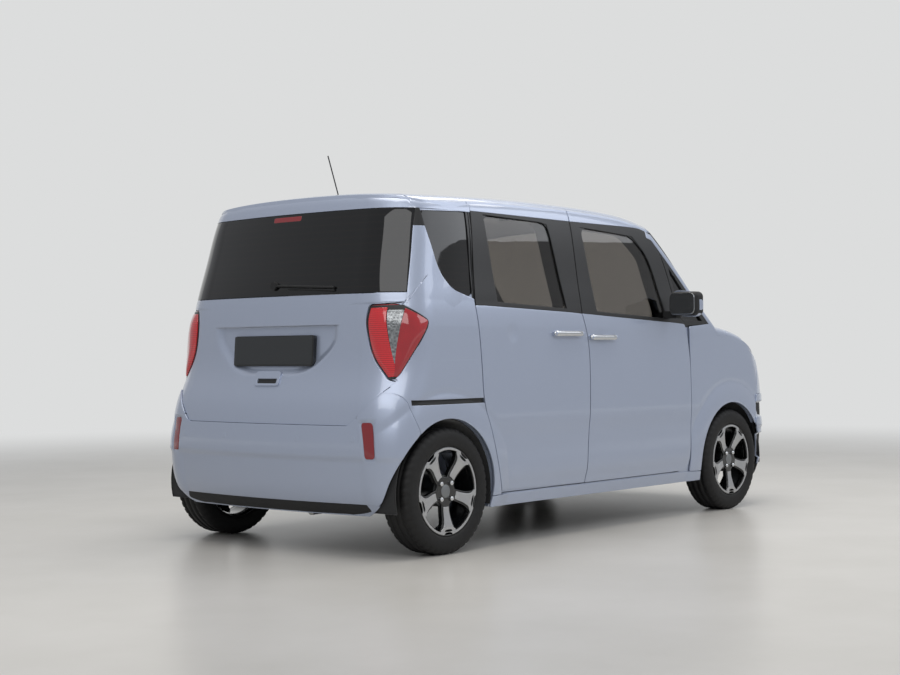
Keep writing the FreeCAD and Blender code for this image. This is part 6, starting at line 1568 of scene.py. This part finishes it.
# Window openings: the imported pressings are black round the glass, and in the paint's colour below the
# belt and over the doors. The tailgate's foot is coloured black as painted shade, which keeps its shut line
# dark.
BELT_MIDDLE, BELT_HALF, BELT_FALL, BLACK_FROM = 1.336, 0.253, 0.0482, -1.155
GATE_FOOT, GATE_FROM = 0.613, -1.600
# Shell: the flakes of the paint, and in the black parts (round the glass, and as painted shade at the
# tailgate's foot) a dull film with no metal in it.
shell, shell_tree, shell_shader = finish("paint, black surround and painted shut shade", "a9b4ca", 0.36, Metallic=0.4,
                                         Coat_Weight=0.9, Coat_Roughness=0.05)
place = add(shell_tree, "ShaderNodeTexCoord")
spot = add(shell_tree, "ShaderNodeSeparateXYZ", {}, {"Vector": place.outputs["Object"]})
fallen = reckoned(shell_tree, "MULTIPLY_ADD", spot.outputs["X"], BELT_FALL, spot.outputs["Z"])
in_band = reckoned(shell_tree, "COMPARE", fallen, BELT_MIDDLE, BELT_HALF)
under_roof = reckoned(shell_tree, "LESS_THAN", spot.outputs["Z"], BAND_TOP * HEIGHT)
at_doors = reckoned(shell_tree, "GREATER_THAN", spot.outputs["X"], BLACK_FROM)
in_both = reckoned(shell_tree, "MULTIPLY", in_band, under_roof)
at_glass = reckoned(shell_tree, "MULTIPLY", in_both, at_doors)
# Painted shade: low on the tail, behind the rear arch, the pressings are coloured black so that the shut line
# between tailgate and bumper shows dark.
at_foot = reckoned(shell_tree, "LESS_THAN", spot.outputs["Z"], GATE_FOOT)
behind_arch = reckoned(shell_tree, "LESS_THAN", spot.outputs["X"], GATE_FROM)
shut_shade = reckoned(shell_tree, "MULTIPLY", at_foot, behind_arch)
black_or_shut_shade = reckoned(shell_tree, "MAXIMUM", at_glass, shut_shade)
shell_flake = texture(shell_tree, "Voronoi", {"Scale": FLAKES_PER_METRE})
shell_tone = add(shell_tree, "ShaderNodeMix",
                 {"data_type": "RGBA", 6: linear(FLAKE_TONES[0]), 7: linear(FLAKE_TONES[1])},
                 {0: shell_flake.outputs["Distance"]})
surround = add(shell_tree, "ShaderNodeMix", {"data_type": "RGBA", 7: linear("0c0d0e")},
               {0: black_or_shut_shade, 6: shell_tone.outputs[2]})
shell_tree.links.new(surround.outputs[2], shell_shader.inputs["Base Color"])
bare = reckoned(shell_tree, "MULTIPLY_ADD", black_or_shut_shade, -0.4, 0.4)
shell_tree.links.new(bare, shell_shader.inputs["Metallic"])
dull = reckoned(shell_tree, "MULTIPLY_ADD", black_or_shut_shade, -0.8, 0.9)
shell_tree.links.new(dull, shell_shader.inputs["Coat Weight"])
coat("body_side_right body_side_left slide_door front_door_right front_door_left rear_door_left tailgate",
     shell)

# Wheelhouse liners: moulded grey-black felt shells clipped inside each arch, which carry the dark
# of the wheel's room right up to the folded arch edge.
# Felt: dark, with no gloss and a coarse nap.
felt = grained("pressed felt liner", "17181a", 0.95, 600.0, 0.6, 0.0012, Sheen_Weight=0.3)
LINER_ROWS = np.array([(0.765, 0), (0.74, 0), (0.70, 0), (0.65, 0), (0.60, 0), (0.55, 0), (0.530, 0.002),
                       (0.520, 0.008), (0.516, 0.016), (0.515, 0.030), (0.515, 0.055), (0.515, 0.085)])
LINER_RIB, RIBS_PER_RADIAN = 0.0018, 18
for axle_name, axle, reach, turns, rows in (("rear", REAR_AXLE, 0.3290, (-14, 194), 12),
                                            ("front", FRONT_AXLE, 0.3640, (-6, 190), 6)):
    for hand, side in SIDES:
        turn = np.radians(np.linspace(*turns, 72))[:, None]
        run, draw = LINER_ROWS[None, :rows, 0], LINER_ROWS[None, :rows, 1]
        rib = LINER_RIB * np.cos(turn * RIBS_PER_RADIAN) * eased(-run, -0.74, -0.70)
        around = reach - draw - rib
        grid = np.stack([axle + around * np.cos(turn), hand * run * np.ones_like(turn),
                         HUB_HIGH + around * np.sin(turn)], axis=-1)
        out = np.stack([-np.cos(turn) * np.ones_like(run), 0 * turn * run,
                        -np.sin(turn) * np.ones_like(run)], axis=-1)
        pressed("arch_liner_%s_%s" % (axle_name, side), None, 1, felt, "body", gap=0.0, shape=(grid, out),
                hem_shape=HEM * 0.6)

# Door handles: chromed die-cast bars on two feet, over a hollow pressed into the door for the hand.
HANDLE_REACH, BAR_HIGH, BAR_DEEP = 0.7996, 0.0165, 0.0142
HANDLES = (("slide", -1, 0.3200, 0.4130, 0.594, "body"),
           ("front_right", -1, 0.4430, 0.5320, 0.583, "door_front_right"),
           ("front_left", 1, 0.4430, 0.5320, 0.583, "door_front_left"),
           ("rear_left", 1, 0.1550, 0.2450, 0.594, "door_rear_left"))
for name, hand, first, last, high, carrier in HANDLES:
    along = np.linspace(-1, 1, 41)[:, None]
    turn = full_turn(32)
    middle, half = (at(first, 0)[0] + at(last, 0)[0]) / 2, (last - first) / 2 * BASE + 0.006
    full = np.clip(1 - np.abs(along) ** 9, 0, 1) ** 0.5
    waist = 1 - 0.10 * (1 - along ** 2)
    rise = np.sign(np.cos(turn)) * np.abs(np.cos(turn)) ** 0.8
    bar = np.stack([middle + half * along * np.ones_like(turn),
                    hand * (HANDLE_REACH + full * BAR_DEEP * np.sin(turn)),
                    high * HEIGHT + full * waist * BAR_HIGH * rise], axis=-1)
    piece = raw_mesh("handle_" + name, bar, quads(41, 32, True), chrome)
    consistent(piece.data)
    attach(piece, carrier)

# Door mirrors: a body-coloured cap snapped over a black housing, with a silvered glass facing back.
MIRROR_POWER, MIRROR_CANT, CANT_FROM_X = 3.6, 0.10, 0.46
MIRROR_MIDDLE, MIRROR_HALF = np.array([0.5010, 0.9017, 1.1745]), np.array([0.0550, 0.0885, 0.0690])
MIRROR_GLASS_X = 0.4495
# Mirror glass: a clean reflection, dulled a little by dust in patches.
silvered, silvered_tree, silvered_shader = finish("silvered mirror glass", "c9cdd0", 0.02, Metallic=1.0,
                                                  Coat_Weight=1.0)
dust = texture(silvered_tree, "Noise", {"Scale": 60.0, "Detail": 4.0})
dusty = add(silvered_tree, "ShaderNodeMapRange", {"To Min": 0.01, "To Max": 0.06},
            {"Value": dust.outputs["Fac"]})
silvered_tree.links.new(dusty.outputs[0], silvered_shader.inputs["Roughness"])
for hand, side in SIDES:
    polar = np.linspace(0, 0.56 * math.pi, 26)[:, None]
    turn = full_turn(80)
    heading = np.stack([np.cos(polar) * np.ones_like(turn), np.sin(polar) * np.cos(turn),
                        np.sin(polar) * np.sin(turn)], axis=-1)
    shell_size = np.sum(np.abs(heading) ** MIRROR_POWER, axis=-1, keepdims=True) ** (-1 / MIRROR_POWER)
    cap = MIRROR_MIDDLE + heading * shell_size * MIRROR_HALF
    cap[..., 2] -= MIRROR_CANT * (cap[..., 1] - MIRROR_MIDDLE[1]) * (cap[..., 0] > CANT_FROM_X)
    pressed("mirror_cap_" + side, None, 1, paint, "door_front_" + side, closed=True, gap=0.0,
            shape=on_side((cap, heading), hand), hem_shape=HEM * 0.8)
    glass_grid = rounded_panel(rectangle(MIRROR_MIDDLE[1], 1.1170, 1.2300, 0.0760), 0.030, 10, 24)
    points = np.stack([MIRROR_GLASS_X + 0 * glass_grid[..., 0], hand * glass_grid[..., 0],
                       glass_grid[..., 1]], axis=-1)
    pressed("mirror_glass_" + side, None, 1, silvered, "door_front_" + side, gap=0.0,
            hem_shape=HEM * [1, 0.3], shape=(points, np.array([-1.0, 0, 0]) * np.ones_like(points)))

# Seats: moulded foam in a woven dark grey cover, sewn in channels. Each cushion, back and headrest
# is a crowned form, swollen by cloth pressure, with its seams pulled in afterwards.
BACK_LEAN, BACK_WALL, BACK_HIGH = math.radians(14), 0.110, 0.600
SEAT_DEEP, SEAT_HIGH, REST_HIGH, REST_WIDE = 0.480, 0.130, 0.150, 0.235
# Cover: a dull dark weave with a soft nap at grazing light.
cover = grained("woven seat cover", "2f3034", 0.9, 1300.0, 0.5, 0.0008, Sheen_Weight=0.5,
                Sheen_Roughness=0.4)
PAD_SHARE, SWELL_MOST, VOXEL, PRESSURE, SWELL_FRAMES = 0.955, 0.024, 0.0245, 4.0, 20
SEAM_DEEP, SEAM_HALF, SEAM_SIDE, CHANNEL_PITCH = 0.007, 0.006, 0.155, 0.12


def crowned(name, middle, size, lean, pivot):
    """A closed pad: |x/a|^5 + |y/b|^5 + |z/c|^5 = 1, with its sides drawn in between the corners.

    a, b and c are its half sizes. It is then leaned back round a pivot.
    """
    polar = np.linspace(0, math.pi, 41)[:, None]
    turn = full_turn(72)
    heading = np.stack([np.sin(polar) * np.cos(turn), np.sin(polar) * np.sin(turn),
                        np.cos(polar) * np.ones_like(turn)], axis=-1)
    heading = heading * size / np.max(size)
    points = heading / np.sum(np.abs(heading / size * 2) ** 5, axis=-1, keepdims=True) ** (1 / 5)
    share = points / size * 2
    points[..., :2] *= 1 - 0.03 * (1 - share[..., [1, 0]] ** 2)
    points = middle + points * PAD_SHARE - pivot
    leaned = np.stack([points[..., 0] * math.cos(lean) - points[..., 2] * math.sin(lean), points[..., 1],
                       points[..., 0] * math.sin(lean) + points[..., 2] * math.cos(lean)], axis=-1)
    piece = raw_mesh(name, leaned + pivot, quads(41, 72, True), cover)
    consistent(piece.data)
    return piece


pads = []
SEATS = (("front_seat_left", -0.1705, 0.362, 0.372, 0.470, (0.0,)),
         ("front_seat_right", -0.1705, -0.362, 0.372, 0.470, (0.0,)),
         ("rear_bench", -0.9643, 0.0, 0.430, 1.120, (-0.235, 0.235)))
for node_name, x, y_middle, floor_high, wide, rests in SEATS:
    pivot = np.array([x, y_middle, floor_high + SEAT_HIGH])
    cushion_spot = (x + SEAT_DEEP / 2 + 0.02, y_middle, floor_high + SEAT_HIGH / 2)
    back_x, back_high = x + 0.2 * BACK_WALL, floor_high + 0.4 * SEAT_HIGH + BACK_HIGH / 2
    forms = [("cushion", cushion_spot, (SEAT_DEEP - 0.04, wide, SEAT_HIGH), 0.0),
             ("back", (back_x, y_middle, back_high), (BACK_WALL, wide, BACK_HIGH), -BACK_LEAN)]
    rest_high = floor_high + BACK_HIGH + 0.3 * SEAT_HIGH + REST_HIGH / 2 + 0.004
    rest_size = (0.8 * BACK_WALL, REST_WIDE, REST_HIGH - 0.008)
    for k, off in enumerate(rests):
        forms.append(("rest_%d" % (k + 1), (back_x, y_middle + off, rest_high), rest_size, -BACK_LEAN))
    for form, middle, size, lean in forms:
        pad = crowned("%s_%s" % (node_name, form), np.array(middle), np.array(size), lean, pivot)
        pads.append((pad, node_name, middle[1]))


def points_of(mesh):
    """A mesh's points, one row each."""
    flat = np.empty(len(mesh.vertices) * 3)
    mesh.vertices.foreach_get("co", flat)
    return flat.reshape(-1, 3)


pad_pieces = [pad[0] for pad in pads]
for piece in pad_pieces:
    knit = piece.modifiers.new("knit", "REMESH")
    knit.mode, knit.voxel_size = "VOXEL", VOXEL
    whole = bpy.data.meshes.new_from_object(piece.evaluated_get(bpy.context.evaluated_depsgraph_get()))
    piece.modifiers.clear()
    piece.data = whole
    cloth = piece.modifiers.new("cloth", "CLOTH")
    cloth.settings.use_pressure, cloth.settings.uniform_pressure_force = True, PRESSURE
    cloth.settings.effector_weights.gravity = 0.0
    cloth.point_cache.frame_start, cloth.point_cache.frame_end = 1, SWELL_FRAMES
for step in range(1, SWELL_FRAMES + 1):
    bpy.context.scene.frame_set(step)
graph = bpy.context.evaluated_depsgraph_get()
swollen = [points_of(piece.evaluated_get(graph).data) for piece in pad_pieces]
for (piece, node_name, y_middle), grown in zip(pads, swollen):
    before = points_of(piece.data)
    move = grown - before
    far = np.linalg.norm(move, axis=-1, keepdims=True)
    after = before + move * np.minimum(1, SWELL_MOST / np.maximum(far, 1e-9))
    outward = after - after.mean(axis=0)
    outward = outward / np.linalg.norm(outward, axis=-1, keepdims=True)
    across = np.abs(after[:, 1] - y_middle)
    from_channel = np.mod(after[:, 0] + CHANNEL_PITCH / 2, CHANNEL_PITCH) - CHANNEL_PITCH / 2
    channels = np.exp(-(from_channel / SEAM_HALF) ** 2) * (across < SEAM_SIDE - 0.005)
    seam = np.exp(-((across - SEAM_SIDE) / SEAM_HALF) ** 2) + channels
    after = after - outward * SEAM_DEEP * seam[:, None]
    piece.modifiers.clear()
    piece.data.vertices.foreach_set("co", after.reshape(-1))
    piece.data.polygons.foreach_set("use_smooth", np.ones(len(piece.data.polygons), dtype=bool))
    piece.data.update()
    finer = piece.modifiers.new("finer", "SUBSURF")
    finer.levels = finer.render_levels = 1
    piece.data.materials.clear()
    piece.data.materials.append(cover)
    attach(piece, "body")
for node_name in ("front_seat_left", "front_seat_right", "rear_bench"):
    for piece, owner, y_middle in pads:
        if owner == node_name:
            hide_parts(node_name)
